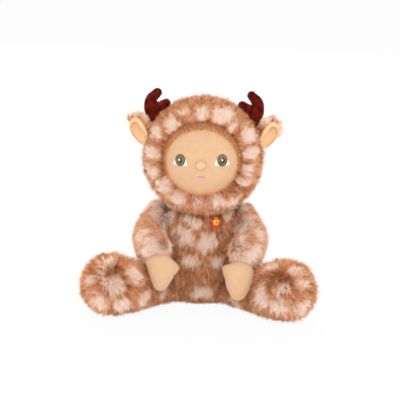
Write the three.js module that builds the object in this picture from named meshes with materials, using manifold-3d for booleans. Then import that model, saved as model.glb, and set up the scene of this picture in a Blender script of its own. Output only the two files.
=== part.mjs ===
// A seated plush doll in a hooded fawn suit: a stuffed torso, a head under a furry hood with ears
// and antlers, and four limbs that turn where they are sewn on.
// Millimetres. +Z is up, the doll looks along -Y, and the origin is the middle of its flat seat.

import * as THREE from "three";
import { mergeVertices } from "three/addons/utils/BufferGeometryUtils.js";
import Module from "manifold-3d";

const wasm = await Module();
wasm.setup();

// Fits
const clearance = 0.3; // between pieces that touch
const stitchGap = 0.15; // between embroidery and the cloth under it
const limbRoom = 0.9; // between a limb and its hollow in the torso, so that it turns freely
const seatFlat = 0.5; // how deep the doll's own weight flattens what it sits on
const overrun = 5; // how far a cutting form reaches past what it cuts
const beyondDoll = 400; // farther than any point of the doll

// Hood and head
const headHeight = 146.7; // the head's centre above the seat
const headForward = 5; // the head's centre in front of the seat's middle
const hoodRadius = 60.5; // over the pile
const hoodWall = 7; // backing cloth and pile
const headWall = 1.8;
const headOpening = 12; // radius of the gap under the head that it is filled through
const faceTilt = 2.2; // degrees that the face looks up
const headTurn = 2; // degrees that the face looks towards the doll's -X side
const faceHalfWidth = 35.2; // of the face that the lining leaves bare
const faceHalfHeight = 32.1;
const liningWall = 2.2;
const liningFlare = 0.62; // widening of the lining per millimetre outwards
const liningLift = 0.28; // rise of the lining's axis per millimetre outwards
const liningInset = 2; // from the hood's surface down to the lining's front edge

// Face
const noseRadius = 4.7;
const noseHeight = 4.4;
const noseElevation = 1; // degrees above the head's equator, as for each feature below
const eyeElevation = 4.6;
const eyeAzimuth = 22.2; // degrees to each side of the nose
const eyeWhiteHalfWidth = 7.6;
const eyeWhiteHeight = 10.5;
const eyeWhiteBow = 1.5; // how far its lower edge bows downwards
const eyeWhiteFullness = 4.5; // half width over which its top is drawn out
const irisHalfWidth = 4.7;
const irisHalfHeight = 5.6;
const irisRise = 0.9; // the iris's centre above the middle of the white
const mouthElevation = -12;
const mouthHalfWidth = 3.7;
const mouthHalfHeight = 1.3;
const patchThickness = 0.5; // of embroidery

// Ears
const earAngle = 25; // degrees above the head's equator
const earStandOff = 11.5; // from the hood's surface to the ear's centre
const earForward = 3; // in front of the head's centre
const earHalfLength = 15; // from root to tip
const earHalfWidth = 15.5;
const earHalfDepth = 9;
const earWall = 4; // backing cloth and pile
const earLiningWall = 1.6;
const earCupForward = 5; // the cup's centre in front of the ear's
const earTurn = 22; // degrees that the cup looks outwards

// Antlers, in the plane across the head: each point is given outwards and upwards from their root,
// which lies on the hood's surface
const antlerAngle = 53; // degrees between the head's axis and the line to the root
const antlerForward = 1;
const antlerThickness = 7.4;
const beamRoute = [
  [-2.8, -3.4],
  [4.2, 8.1],
  [4.3, 18.6],
  [-1.8, 24.1],
];
const beamHalfWidths = [5.4, 6.9, 6.3, 4.9];
const tineRoute = [
  [2.7, 13.1],
  [-3.3, 13.6],
  [-8.8, 15.4],
];
const tineHalfWidths = [5, 4.4, 4.2];

// Torso
const seatRadius = 26; // of the flat that the torso stands on
const torsoSquash = 0.88; // depth of the torso as a share of its width
const bellyRadius = 44;
const bellyHeight = 27;
const seatEdgeRadius = 37.2; // where the seat turns up into the belly
const seatEdgeHeight = 5.4;
const waistTuck = 0.5; // how far the waist draws in between belly and chest
const chestRadius = 37;
const chestHeight = 76;
const shoulderLineRadius = 33; // of the rim that cups the hood
const torsoWall = 3;
const neckRadius = 16;
const neckWall = 3;

// Torso filling
const pelletBagHalfWidth = 14; // the bag lies on the torso's floor as a low dome
const pelletBagHeight = 12;
const pelletBagBack = 8.4; // behind the middle of the seat

// Motif sewn on the chest
const motifAcross = 13.5; // from the middle of the chest
const motifHeight = 85;
const motifRadius = 5.2; // over its petals
const motifPetals = 5;
const motifNotch = 0.2; // depth of the notches between petals, as a share of the radius
const motifThickness = 1.4;

// Arms: each point is given from the shoulder joint as outwards, forwards, down
const shoulderRadius = 15.5;
const shoulderAngle = 36; // degrees between the head's axis and the line to the shoulder joint
const shoulderGap = 1.5; // between hood and shoulder
const shoulderBack = 2; // the shoulder joint behind the head's centre
const elbowOffset = [5, 21, 14];
const cuffOffset = [-1, 47, 22.8];
const elbowRadius = 17.6;
const cuffRadius = 18.4;
const sleeveWall = 3;
const wristOffset = [-6, 50, 20];
const palmOffset = [-9, 63, 35];
const fingerOffset = [-8, 68, 51];
const handDrop = 4; // how much lower the right hand hangs
const wristHalfWidth = 13;
const palmHalfWidth = 15;
const fingerHalfWidth = 8.5;
const handThickness = 12;
const fingerThickness = 9.6;
const thumbHalfWidth = 5.5;
const thumbThickness = 8.4;
const thumbReach = 14; // the thumb's centre from the palm's middle line
const thumbRoot = 5.6; // where the thumb starts, from the same line
const thumbRise = 1.65; // how much nearer to the wrist the thumb's end lies

// Legs
const hipRadius = 13;
const hipSpread = 24; // hip joint from the middle
const hipForward = 21;
const footRadius = 30.5;
const legLength = 78.3; // hip joint to the middle of the foot
const legSplay = 51.7; // degrees outwards
const solePuff = 28.5; // from the foot's middle to the sole
const soleRoundness = 0.8; // 1 is an oval, less is a squarer edge round the sole
const legWall = 3;
const legRoot = 31.3; // length of the leg that can lie inside the torso
const hipOpening = 6; // radius of the gap at the hip that the leg is filled through
const hipPocketDepth = 3.2; // of the hollow under the hip that the leg turns in, below the joint's ball

const headCentre = new THREE.Vector3(0, -headForward, headHeight);
const headRadius = hoodRadius - hoodWall - clearance;
const shoulderReach = hoodRadius + shoulderGap + shoulderRadius;
const shoulderX = shoulderReach * Math.sin(radians(shoulderAngle));
const shoulderZ = headHeight - shoulderReach * Math.cos(radians(shoulderAngle));
const shoulderY = shoulderBack - headForward;
const hipHeight = hipRadius - seatFlat;
const footHeight = footRadius - seatFlat;
const legTilt = Math.asin((footHeight - hipHeight) / legLength);
const legWidening = (footRadius - hipRadius) / legLength;
const SIDES = { left: -1, right: 1 };

const root = new THREE.Group();

function radians(degrees) {
  return (degrees * Math.PI) / 180;
}

// Solids

function solid(geometry) {
  const bare = geometry.clone();
  bare.deleteAttribute("normal");
  bare.deleteAttribute("uv");
  const merged = mergeVertices(bare, 1e-4);
  const made = new wasm.Manifold(
    new wasm.Mesh({
      numProp: 3,
      vertProperties: merged.attributes.position.array,
      triVerts: new Uint32Array(merged.index.array),
    }),
  );
  return made;
}

function geometryOf(body) {
  const { vertProperties, triVerts, numVert, numProp } = body.getMesh();
  const positions = new Float32Array(numVert * 3);
  for (let i = 0; i < numVert; i += 1) {
    positions.set(vertProperties.subarray(i * numProp, i * numProp + 3), i * 3);
  }
  const geometry = new THREE.BufferGeometry();
  geometry.setAttribute("position", new THREE.BufferAttribute(positions, 3));
  geometry.setIndex(new THREE.BufferAttribute(new Uint32Array(triVerts), 1));
  geometry.computeVertexNormals();
  return geometry;
}

function addPiece(name, body, finish) {
  const mesh = new THREE.Mesh(geometryOf(body), new THREE.MeshStandardMaterial(finish));
  mesh.name = name;
  root.add(mesh);
}

// A closed skin through rings of points, with one end point before the first and one after the last
function skin(firstPole, rings, lastPole) {
  const count = rings[0].length;
  const points = [firstPole, ...rings.flat(), lastPole];
  const last = points.length - 1;
  const faces = [];
  const at = (ring, i) => 1 + ring * count + (i % count);
  for (let i = 0; i < count; i += 1) {
    faces.push([0, at(0, i + 1), at(0, i)]);
    faces.push([last, at(rings.length - 1, i), at(rings.length - 1, i + 1)]);
    for (let ring = 0; ring < rings.length - 1; ring += 1) {
      faces.push([at(ring, i), at(ring, i + 1), at(ring + 1, i + 1)]);
      faces.push([at(ring, i), at(ring + 1, i + 1), at(ring + 1, i)]);
    }
  }
  const volume = faces.reduce((sum, [a, b, c]) => {
    const cross = points[b].clone().cross(points[c]);
    return sum + points[a].dot(cross);
  }, 0);
  const outward = volume > 0 ? faces : faces.map(([a, b, c]) => [a, c, b]);
  const geometry = new THREE.BufferGeometry().setFromPoints(points);
  geometry.setIndex(outward.flat());
  return solid(geometry);
}

// A ring of points round a centre, in the plane of two directions
function ellipse(centre, across, halfWidth, along, halfDepth, sides) {
  return Array.from({ length: sides }, (_, i) => {
    const angle = (i / sides) * 2 * Math.PI;
    return centre
      .clone()
      .addScaledVector(across, halfWidth * Math.cos(angle))
      .addScaledVector(along, halfDepth * Math.sin(angle));
  });
}

function along(values, t) {
  const curve = new THREE.SplineCurve(values.map((value, i) => new THREE.Vector2(i, value)));
  return curve.getPoint(t).y;
}

// A stuffed form along a smooth spine: its half widths follow the spine and both ends are domed
function stuffedForm({ spine, halfWidths, halfDepths, normal, sides, steps, grow = 0 }) {
  const curve = new THREE.CatmullRomCurve3(spine, false, "centripetal");
  const domeSteps = 3;
  const rings = [];
  const section = (t, offset, scale) => {
    const tangent = curve.getTangent(t);
    const across = tangent.clone().cross(normal).normalize();
    const up = across.clone().cross(tangent).normalize();
    const centre = curve.getPoint(t).addScaledVector(tangent, offset);
    const halfWidth = (along(halfWidths, t) + grow) * scale;
    const halfDepth = (along(halfDepths, t) + grow) * scale;
    return ellipse(centre, across, halfWidth, up, halfDepth, sides);
  };
  const domeHeight = (t) => Math.min(along(halfWidths, t), along(halfDepths, t)) + grow;
  for (let i = 1; i <= domeSteps; i += 1) {
    const angle = ((i / (domeSteps + 1)) * Math.PI) / 2;
    rings.push(section(0, -domeHeight(0) * Math.cos(angle), Math.sin(angle)));
  }
  for (let i = 0; i <= steps; i += 1) {
    rings.push(section(i / steps, 0, 1));
  }
  for (let i = domeSteps; i >= 1; i -= 1) {
    const angle = ((i / (domeSteps + 1)) * Math.PI) / 2;
    rings.push(section(1, domeHeight(1) * Math.cos(angle), Math.sin(angle)));
  }
  const pole = (t, sign) =>
    curve.getPoint(t).addScaledVector(curve.getTangent(t), sign * domeHeight(t));
  return skin(pole(0, -1), rings, pole(1, 1));
}

function ball(centre, radius, segments) {
  const geometry = new THREE.SphereGeometry(radius, segments, segments / 2);
  geometry.rotateX(Math.PI / 2);
  geometry.translate(centre.x, centre.y, centre.z);
  return solid(geometry);
}

// A turned form: the profile's points are radius and height, from the axis below to the axis above
function turned(profile, segments, direction = new THREE.Vector3(0, 0, 1)) {
  const points = profile.map(([radius, height]) => new THREE.Vector2(radius, height));
  const geometry = new THREE.LatheGeometry(points, segments);
  geometry.applyQuaternion(
    new THREE.Quaternion().setFromUnitVectors(new THREE.Vector3(0, 1, 0), direction),
  );
  return geometry;
}

function upright(radius, low, high, segments) {
  const geometry = new THREE.CylinderGeometry(radius, radius, high - low, segments);
  geometry.rotateX(Math.PI / 2);
  geometry.translate(0, 0, (low + high) / 2);
  return geometry;
}

// A broad block between two levels
function block(low, high) {
  const geometry = new THREE.BoxGeometry(beyondDoll, beyondDoll, high - low);
  geometry.translate(0, 0, (low + high) / 2);
  return solid(geometry);
}

const aboveFloor = block(0, beyondDoll);

// Head directions: azimuth from the nose to the doll's +X side, elevation above the head's equator,
// in degrees

function headDirection(azimuth, elevation) {
  const a = radians(azimuth - headTurn);
  const e = radians(elevation);
  return new THREE.Vector3(
    Math.sin(a) * Math.cos(e),
    -Math.cos(a) * Math.cos(e),
    Math.sin(e),
  );
}

const HEAD_SEGMENTS = 24;

function headBall(radius) {
  return ball(headCentre, radius, HEAD_SEGMENTS);
}

// The cone of the face opening, at a distance beyond the lining's inner edge
function faceCone(wall, grow) {
  const face = headDirection(0, faceTilt);
  const sideways = headDirection(90, 0);
  const upwards = sideways.clone().cross(face).negate();
  const start = Math.sqrt(headRadius ** 2 - faceHalfWidth ** 2);
  const ring = (distance) => {
    const beyond = distance - start;
    const centre = headCentre
      .clone()
      .addScaledVector(face, distance)
      .addScaledVector(upwards, beyond * liningLift);
    const halfWidth = faceHalfWidth + beyond * liningFlare + wall + grow;
    const halfHeight = faceHalfHeight + beyond * liningFlare + wall + grow;
    const points = ellipse(centre, sideways, halfWidth, upwards, halfHeight, HEAD_SEGMENTS);
    return { centre, points };
  };
  const inner = ring(start - hoodWall - overrun);
  const outer = ring(hoodRadius + overrun);
  return skin(inner.centre, [inner.points, outer.points], outer.centre);
}

const liningFront = headBall(hoodRadius - liningInset);

function makeHood() {
  const neckHole = upright(neckRadius + 2 * clearance, 0, headHeight, 24);
  neckHole.translate(headCentre.x, headCentre.y, 0);
  const hood = headBall(hoodRadius)
    .subtract(headBall(headRadius + clearance))
    .subtract(faceCone(liningWall, clearance))
    .subtract(solid(neckHole));
  addPiece("hood", hood, { color: 0xc48050, roughness: 0.95, metalness: 0 });
}

function makeLining() {
  const lining = faceCone(liningWall, 0)
    .intersect(liningFront)
    .subtract(faceCone(0, 0))
    .subtract(headBall(headRadius + clearance));
  addPiece("hood_lining", lining, { color: 0xb56a40, roughness: 0.95, metalness: 0 });
}

function makeHead() {
  const neckGap = upright(headOpening, headHeight - hoodRadius, headHeight, 20);
  neckGap.translate(headCentre.x, headCentre.y, 0);
  const inside = ball(headCentre, headRadius - headWall, 16);
  const head = headBall(headRadius).subtract(inside).subtract(solid(neckGap));
  addPiece("head", head, { color: 0xf3c79c, roughness: 0.9, metalness: 0 });
  const filling = ball(headCentre, headRadius - headWall - clearance, 16);
  addPiece("head_filling", filling, { color: 0xf4f2ec, roughness: 1, metalness: 0 });
}

function makeNose() {
  const direction = headDirection(0, noseElevation);
  const geometry = new THREE.SphereGeometry(1, 16, 10);
  geometry.scale(noseRadius, noseRadius, noseHeight);
  geometry.applyQuaternion(
    new THREE.Quaternion().setFromUnitVectors(new THREE.Vector3(0, 0, 1), direction),
  );
  const centre = headCentre.clone().addScaledVector(direction, headRadius);
  geometry.translate(centre.x, centre.y, centre.z);
  const nose = solid(geometry).subtract(headBall(headRadius + clearance));
  addPiece("nose", nose, { color: 0xf2c99d, roughness: 0.9, metalness: 0 });
}

// Embroidery: an outline stitched on the head, in a layer between two distances from its cloth
function embroidery(outline, azimuth, elevation, from, to) {
  const depth = 14;
  const geometry = new THREE.ExtrudeGeometry(outline, {
    depth,
    bevelEnabled: false,
    curveSegments: 5,
  });
  geometry.translate(0, 0, headRadius - depth / 2);
  geometry.rotateX(Math.PI / 2 - radians(elevation));
  geometry.rotateZ(radians(azimuth - headTurn));
  geometry.translate(headCentre.x, headCentre.y, headCentre.z);
  return solid(geometry)
    .intersect(headBall(headRadius + to))
    .subtract(headBall(headRadius + from));
}

function ellipseOutline(halfWidth, halfHeight, rise = 0) {
  const outline = new THREE.Shape();
  outline.absellipse(0, rise, halfWidth, halfHeight, 0, 2 * Math.PI);
  return outline;
}

function eyeWhiteOutline() {
  const low = -eyeWhiteHeight / 2;
  const corner = low + eyeWhiteBow;
  const top = eyeWhiteHeight / 2;
  const outline = new THREE.Shape();
  outline.moveTo(-eyeWhiteHalfWidth, corner);
  outline.quadraticCurveTo(0, low - eyeWhiteBow, eyeWhiteHalfWidth, corner);
  outline.quadraticCurveTo(eyeWhiteFullness, top, 0, top);
  outline.quadraticCurveTo(-eyeWhiteFullness, top, -eyeWhiteHalfWidth, corner);
  return outline;
}

function makeFaceStitching() {
  const whiteTop = stitchGap + patchThickness;
  const irisTop = whiteTop + stitchGap + patchThickness;
  for (const [side, sign] of Object.entries(SIDES)) {
    const azimuth = sign * eyeAzimuth;
    const white = embroidery(eyeWhiteOutline(), azimuth, eyeElevation, stitchGap, whiteTop);
    addPiece(`eye_white_${side}`, white, { color: 0xf4f2f0, roughness: 0.7, metalness: 0 });
    const irisOutline = ellipseOutline(irisHalfWidth, irisHalfHeight, irisRise);
    const iris = embroidery(irisOutline, azimuth, eyeElevation, whiteTop + stitchGap, irisTop);
    addPiece(`iris_${side}`, iris, { color: 0x75652c, roughness: 0.6, metalness: 0 });
  }
  const mouthOutline = ellipseOutline(mouthHalfWidth, mouthHalfHeight);
  const mouth = embroidery(mouthOutline, 0, mouthElevation, stitchGap, whiteTop);
  addPiece("mouth", mouth, { color: 0xec86a6, roughness: 0.6, metalness: 0 });
}

// Ears: cupped pads with a cloth lining, standing out from the sides of the hood

function earBall(sign, inset, forward) {
  const outwards = new THREE.Vector3(
    sign * Math.cos(radians(earAngle)),
    0,
    Math.sin(radians(earAngle)),
  );
  const turn = radians(earTurn);
  const front = new THREE.Vector3(sign * Math.sin(turn), -Math.cos(turn), 0);
  const lengthways = outwards.clone().addScaledVector(front, -outwards.dot(front)).normalize();
  const sideways = front.clone().cross(lengthways);
  const geometry = new THREE.SphereGeometry(1, 14, 8);
  geometry.scale(earHalfLength - inset, earHalfWidth - inset, earHalfDepth - inset);
  geometry.applyMatrix4(new THREE.Matrix4().makeBasis(lengthways, sideways, front));
  const centre = headCentre
    .clone()
    .addScaledVector(outwards, hoodRadius + earStandOff)
    .add(new THREE.Vector3(0, -earForward, 0))
    .addScaledVector(front, forward);
  geometry.translate(centre.x, centre.y, centre.z);
  return solid(geometry);
}

function makeEars() {
  const aroundHead = headBall(hoodRadius + clearance);
  for (const [side, sign] of Object.entries(SIDES)) {
    const cup = earBall(sign, earWall, earCupForward);
    const ear = earBall(sign, 0, 0).subtract(cup).subtract(aroundHead);
    addPiece(`ear_${side}`, ear, { color: 0xc48050, roughness: 0.95, metalness: 0 });
    const lining = earBall(sign, earWall + clearance, earCupForward)
      .subtract(earBall(sign, earWall + clearance + earLiningWall, earCupForward + earLiningWall * 2))
      .intersect(earBall(sign, clearance, 0))
      .subtract(aroundHead);
    addPiece(`ear_lining_${side}`, lining, { color: 0xeec190, roughness: 0.9, metalness: 0 });
  }
}

function antlerBranch(sign, route, halfWidths) {
  const rootAcross = hoodRadius * Math.sin(radians(antlerAngle));
  const rootUp = hoodRadius * Math.cos(radians(antlerAngle));
  const spine = route.map(([across, up]) =>
    headCentre
      .clone()
      .add(new THREE.Vector3(sign * (rootAcross + across), -antlerForward, rootUp + up)),
  );
  return stuffedForm({
    spine,
    halfWidths,
    halfDepths: halfWidths.map(() => antlerThickness / 2),
    normal: new THREE.Vector3(0, 1, 0),
    sides: 8,
    steps: 2 * (route.length - 1),
  });
}

function makeAntlers() {
  for (const [side, sign] of Object.entries(SIDES)) {
    const antler = antlerBranch(sign, beamRoute, beamHalfWidths)
      .add(antlerBranch(sign, tineRoute, tineHalfWidths))
      .subtract(headBall(hoodRadius + clearance))
      .subtract(earBall(sign, -clearance, 0));
    addPiece(`antler_${side}`, antler, { color: 0x5c1c15, roughness: 0.85, metalness: 0 });
  }
}

// Limb joints and directions

function hip(sign) {
  return new THREE.Vector3(sign * hipSpread, -hipForward, hipHeight);
}

function legHeading(sign) {
  const splay = radians(legSplay);
  return new THREE.Vector3(sign * Math.sin(splay), -Math.cos(splay), 0);
}

function legDirection(sign) {
  return legHeading(sign)
    .multiplyScalar(Math.cos(legTilt))
    .add(new THREE.Vector3(0, 0, Math.sin(legTilt)));
}

function shoulder(sign) {
  return new THREE.Vector3(sign * shoulderX, shoulderY, shoulderZ);
}

function armPoint(sign, [outwards, forwards, down], extraDrop = 0) {
  return shoulder(sign).add(new THREE.Vector3(sign * outwards, -forwards, -down - extraDrop));
}

const LEG_SIDES = 20;
const LEG_INNER_SIDES = 12;

// A leg swells from the hip to the round foot. A length keeps only that much of it, from the hip.
function legForm(sign, grow, segments, length = Infinity) {
  const profile = [[0, -hipRadius - grow]];
  const arcSteps = 4;
  for (let i = 1; i < arcSteps; i += 1) {
    const angle = ((i / arcSteps) * Math.PI) / 2;
    profile.push([(hipRadius + grow) * Math.sin(angle), -(hipRadius + grow) * Math.cos(angle)]);
  }
  const shankSteps = 4;
  for (let i = 0; i <= shankSteps; i += 1) {
    const share = i / shankSteps;
    const radius = hipRadius + legWidening * legLength * share;
    profile.push([radius + grow, legLength * share]);
  }
  for (let i = 1; i < arcSteps; i += 1) {
    const angle = ((i / arcSteps) * Math.PI) / 2;
    const radius = (footRadius + grow) * Math.cos(angle) ** soleRoundness;
    profile.push([radius, legLength + (solePuff + grow) * Math.sin(angle)]);
  }
  profile.push([0, legLength + solePuff + grow]);
  const kept = profile.filter(([, height]) => height <= length);
  if (kept.length < profile.length) {
    kept.push([0, kept[kept.length - 1][1]]);
  }
  const form = turned(kept, segments, legDirection(sign));
  const joint = hip(sign);
  form.translate(joint.x, joint.y, joint.z);
  return solid(form);
}

// The room that a leg needs in the torso: its own form, and the pocket under the hip that it turns in
function hipPocket(sign, grow, segments) {
  const radius = hipRadius + hipPocketDepth + grow;
  const middle = hipRadius + grow;
  const rim = middle + legWidening * radius;
  const axle = legHeading(sign).cross(new THREE.Vector3(0, 0, 1));
  const profile = [[0, -middle], [radius, -rim], [radius, rim], [0, middle]];
  const disc = turned(profile, segments, axle);
  const joint = hip(sign);
  disc.translate(joint.x, joint.y, joint.z);
  const below = block(-beyondDoll, hipHeight + grow);
  return legForm(sign, grow, segments, legRoot).add(solid(disc).intersect(below));
}

function makeLegs() {
  for (const [side, sign] of Object.entries(SIDES)) {
    const direction = legDirection(sign);
    const inward = direction.clone().negate();
    const gap = new THREE.CylinderGeometry(hipOpening, hipOpening, hipRadius + legWall, 12);
    gap.translate(0, (hipRadius + legWall) / 2, 0);
    gap.applyQuaternion(
      new THREE.Quaternion().setFromUnitVectors(new THREE.Vector3(0, 1, 0), inward),
    );
    const joint = hip(sign);
    gap.translate(joint.x, joint.y, joint.z);
    const hollowFloor = block(legWall, beyondDoll);
    const hollow = legForm(sign, -legWall, LEG_INNER_SIDES).intersect(hollowFloor);
    const leg = legForm(sign, 0, LEG_SIDES).intersect(aboveFloor).subtract(hollow).subtract(solid(gap));
    addPiece(`leg_${side}`, leg, { color: 0xc48050, roughness: 0.95, metalness: 0 });
    const fillingFloor = block(legWall + clearance, beyondDoll);
    const filling = legForm(sign, -legWall - clearance, LEG_INNER_SIDES).intersect(fillingFloor);
    addPiece(`leg_filling_${side}`, filling, { color: 0xf4f2ec, roughness: 1, metalness: 0 });
  }
}

const SLEEVE_SIDES = 14;
const SLEEVE_INNER_SIDES = 10;

function sleeveForm(sign, grow, sides) {
  const spine = [shoulder(sign), armPoint(sign, elbowOffset), armPoint(sign, cuffOffset)];
  const radii = [shoulderRadius, elbowRadius, cuffRadius];
  return stuffedForm({
    spine,
    halfWidths: radii,
    halfDepths: radii,
    normal: new THREE.Vector3(1, 0, 0),
    sides,
    steps: 4,
    grow,
  });
}

// A mitten hand: flat and tapered, with a short thumb on its inner edge
function handForm(sign, grow) {
  const drop = sign > 0 ? handDrop : 0;
  const wrist = armPoint(sign, wristOffset, drop / 2);
  const palm = armPoint(sign, palmOffset, drop);
  const finger = armPoint(sign, fingerOffset, drop);
  const lengthways = finger.clone().sub(wrist).normalize();
  const inwards = new THREE.Vector3(-sign, 0, 0);
  const normal = inwards.clone().cross(lengthways).normalize();
  const halfDepth = handThickness / 2;
  const mitten = stuffedForm({
    spine: [wrist, palm, finger],
    halfWidths: [wristHalfWidth, palmHalfWidth, fingerHalfWidth],
    halfDepths: [halfDepth, halfDepth, fingerThickness / 2],
    normal,
    sides: 12,
    steps: 4,
    grow,
  });
  const thumbStart = palm.clone().addScaledVector(inwards, thumbRoot);
  const thumbEnd = palm.clone().addScaledVector(inwards, thumbReach);
  thumbEnd.addScaledVector(lengthways, -thumbRise);
  const thumb = stuffedForm({
    spine: [thumbStart, thumbEnd],
    halfWidths: [thumbHalfWidth, thumbHalfWidth],
    halfDepths: [thumbThickness / 2, thumbThickness / 2],
    normal,
    sides: 8,
    steps: 1,
    grow,
  });
  return mitten.add(thumb);
}

function makeArms() {
  for (const [side, sign] of Object.entries(SIDES)) {
    const hand = handForm(sign, 0);
    const room = handForm(sign, clearance);
    const hollow = sleeveForm(sign, -sleeveWall, SLEEVE_INNER_SIDES);
    const sleeve = sleeveForm(sign, 0, SLEEVE_SIDES).subtract(hollow).subtract(room);
    addPiece(`sleeve_${side}`, sleeve, { color: 0xc48050, roughness: 0.95, metalness: 0 });
    const filling = sleeveForm(sign, -sleeveWall - clearance, SLEEVE_INNER_SIDES).subtract(room);
    addPiece(`sleeve_filling_${side}`, filling, { color: 0xf4f2ec, roughness: 1, metalness: 0 });
    addPiece(`hand_${side}`, hand, { color: 0xf5c69c, roughness: 0.9, metalness: 0 });
  }
}

// The torso is a pear that cups the hood and takes the shoulders and hips in hollows

const TORSO_SIDES = 28;
const TORSO_RINGS = 9;
const TORSO_INNER_SIDES = 16;
const TORSO_INNER_RINGS = 5;

function torsoForm(grow, segments, rings) {
  const rimHeight = headHeight - Math.sqrt(hoodRadius ** 2 - shoulderLineRadius ** 2);
  const outline = new THREE.SplineCurve([
    new THREE.Vector2(seatRadius, 0),
    new THREE.Vector2(seatEdgeRadius, seatEdgeHeight),
    new THREE.Vector2(bellyRadius, bellyHeight),
    new THREE.Vector2((bellyRadius + chestRadius) / 2 - waistTuck, (bellyHeight + chestHeight) / 2),
    new THREE.Vector2(chestRadius, chestHeight),
    new THREE.Vector2(shoulderLineRadius, rimHeight),
  ]);
  const profile = outline.getPoints(rings).map(({ x, y }) => [x + grow, y]);
  const low = -grow;
  const high = rimHeight + grow;
  profile[0][1] = low;
  profile[profile.length - 1][1] = high;
  const form = turned([[0, low], ...profile, [0, high]], segments);
  form.scale(1, torsoSquash, 1);
  return solid(form);
}

function makeTorso() {
  const hoodRoom = headBall(hoodRadius + clearance);
  const headRoom = headBall(headRadius + clearance);
  const neckFoot = headHeight - hoodRadius - 2 * torsoWall;
  const neckOutside = upright(neckRadius, neckFoot, headHeight, 24);
  neckOutside.translate(headCentre.x, headCentre.y, 0);
  const neckInside = upright(neckRadius - neckWall, neckFoot, headHeight, 16);
  neckInside.translate(headCentre.x, headCentre.y, 0);
  const joinAll = (bodies) => bodies.reduce((whole, body) => whole.add(body));
  const limbHollows = joinAll(
    Object.values(SIDES).flatMap((sign) => [
      hipPocket(sign, limbRoom, LEG_SIDES),
      sleeveForm(sign, limbRoom, SLEEVE_SIDES),
    ]),
  );
  const wallRoom = (wall) =>
    joinAll(
      Object.values(SIDES).flatMap((sign) => [
        hipPocket(sign, limbRoom + wall, SLEEVE_INNER_SIDES),
        sleeveForm(sign, limbRoom + wall, SLEEVE_INNER_SIDES),
      ]),
    ).add(ball(headCentre, hoodRadius + clearance + wall, 16));
  const outside = torsoForm(0, TORSO_SIDES, TORSO_RINGS)
    .subtract(hoodRoom)
    .add(solid(neckOutside))
    .subtract(headRoom)
    .subtract(limbHollows);
  const inside = torsoForm(-torsoWall, TORSO_INNER_SIDES, TORSO_INNER_RINGS).subtract(wallRoom(torsoWall));
  const torso = outside.subtract(inside).subtract(solid(neckInside));
  addPiece("torso", torso, { color: 0xc48050, roughness: 0.95, metalness: 0 });

  const floor = torsoWall + clearance;
  const pelletBag = (grow) => {
    const halfWidth = pelletBagHalfWidth + grow;
    const dome = new THREE.SphereGeometry(1, 16, 8);
    dome.rotateX(Math.PI / 2);
    dome.scale(halfWidth, halfWidth * torsoSquash, pelletBagHeight + grow);
    dome.translate(0, pelletBagBack, floor);
    return solid(dome).intersect(block(floor - grow, floor + 2 * pelletBagHeight));
  };
  addPiece("pellet_bag", pelletBag(0), { color: 0xe8e2d4, roughness: 0.9, metalness: 0 });
  const filling = torsoForm(-torsoWall - clearance, TORSO_INNER_SIDES, TORSO_INNER_RINGS)
    .subtract(wallRoom(torsoWall + clearance))
    .subtract(pelletBag(clearance));
  addPiece("torso_filling", filling, { color: 0xf4f2ec, roughness: 1, metalness: 0 });
}

function makeMotif() {
  const outline = new THREE.Shape();
  const count = motifPetals * 4;
  for (let i = 0; i < count; i += 1) {
    const angle = (i / count) * 2 * Math.PI;
    const radius = motifRadius * (1 - motifNotch + motifNotch * Math.cos(motifPetals * angle));
    const point = [radius * Math.sin(angle), radius * Math.cos(angle)];
    if (i === 0) {
      outline.moveTo(...point);
    } else {
      outline.lineTo(...point);
    }
  }
  const depth = 12;
  const geometry = new THREE.ExtrudeGeometry(outline, { depth, bevelEnabled: false });
  geometry.rotateX(Math.PI / 2);
  const swing = Math.asin(motifAcross / chestRadius);
  geometry.rotateZ(swing);
  const reach = chestRadius - depth / 2;
  geometry.translate(
    reach * Math.sin(swing),
    -reach * torsoSquash * Math.cos(swing),
    motifHeight,
  );
  const motif = solid(geometry)
    .intersect(torsoForm(clearance + motifThickness, TORSO_SIDES, TORSO_RINGS))
    .subtract(torsoForm(clearance, TORSO_SIDES, TORSO_RINGS));
  addPiece("chest_motif", motif, { color: 0xd9482f, roughness: 0.6, metalness: 0 });
}

makeHood();
makeLining();
makeHead();
makeNose();
makeFaceStitching();
makeEars();
makeAntlers();
makeTorso();
makeMotif();
makeArms();
makeLegs();

export default root;
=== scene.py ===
"""A seated plush doll in a hooded fawn suit of long spotted pile, laid out as a Blender add-on."""

import math

import bpy
import numpy as np
from mathutils import Matrix, Vector


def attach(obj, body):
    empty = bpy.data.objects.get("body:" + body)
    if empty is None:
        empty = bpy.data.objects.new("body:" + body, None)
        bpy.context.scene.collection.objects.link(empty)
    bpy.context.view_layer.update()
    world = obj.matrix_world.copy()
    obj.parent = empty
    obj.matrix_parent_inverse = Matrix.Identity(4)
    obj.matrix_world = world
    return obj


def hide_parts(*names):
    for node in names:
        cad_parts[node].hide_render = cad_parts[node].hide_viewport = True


bl_info = {
    "name": "Plush doll in a fawn suit",
    "version": (1, 0, 0),
    "blender": (4, 5, 0),
    "location": "View3D > Sidebar > Plush doll",
    "description": "Builds a seated plush doll of long spotted pile round its CAD frame",
    "category": "Object",
}

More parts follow.
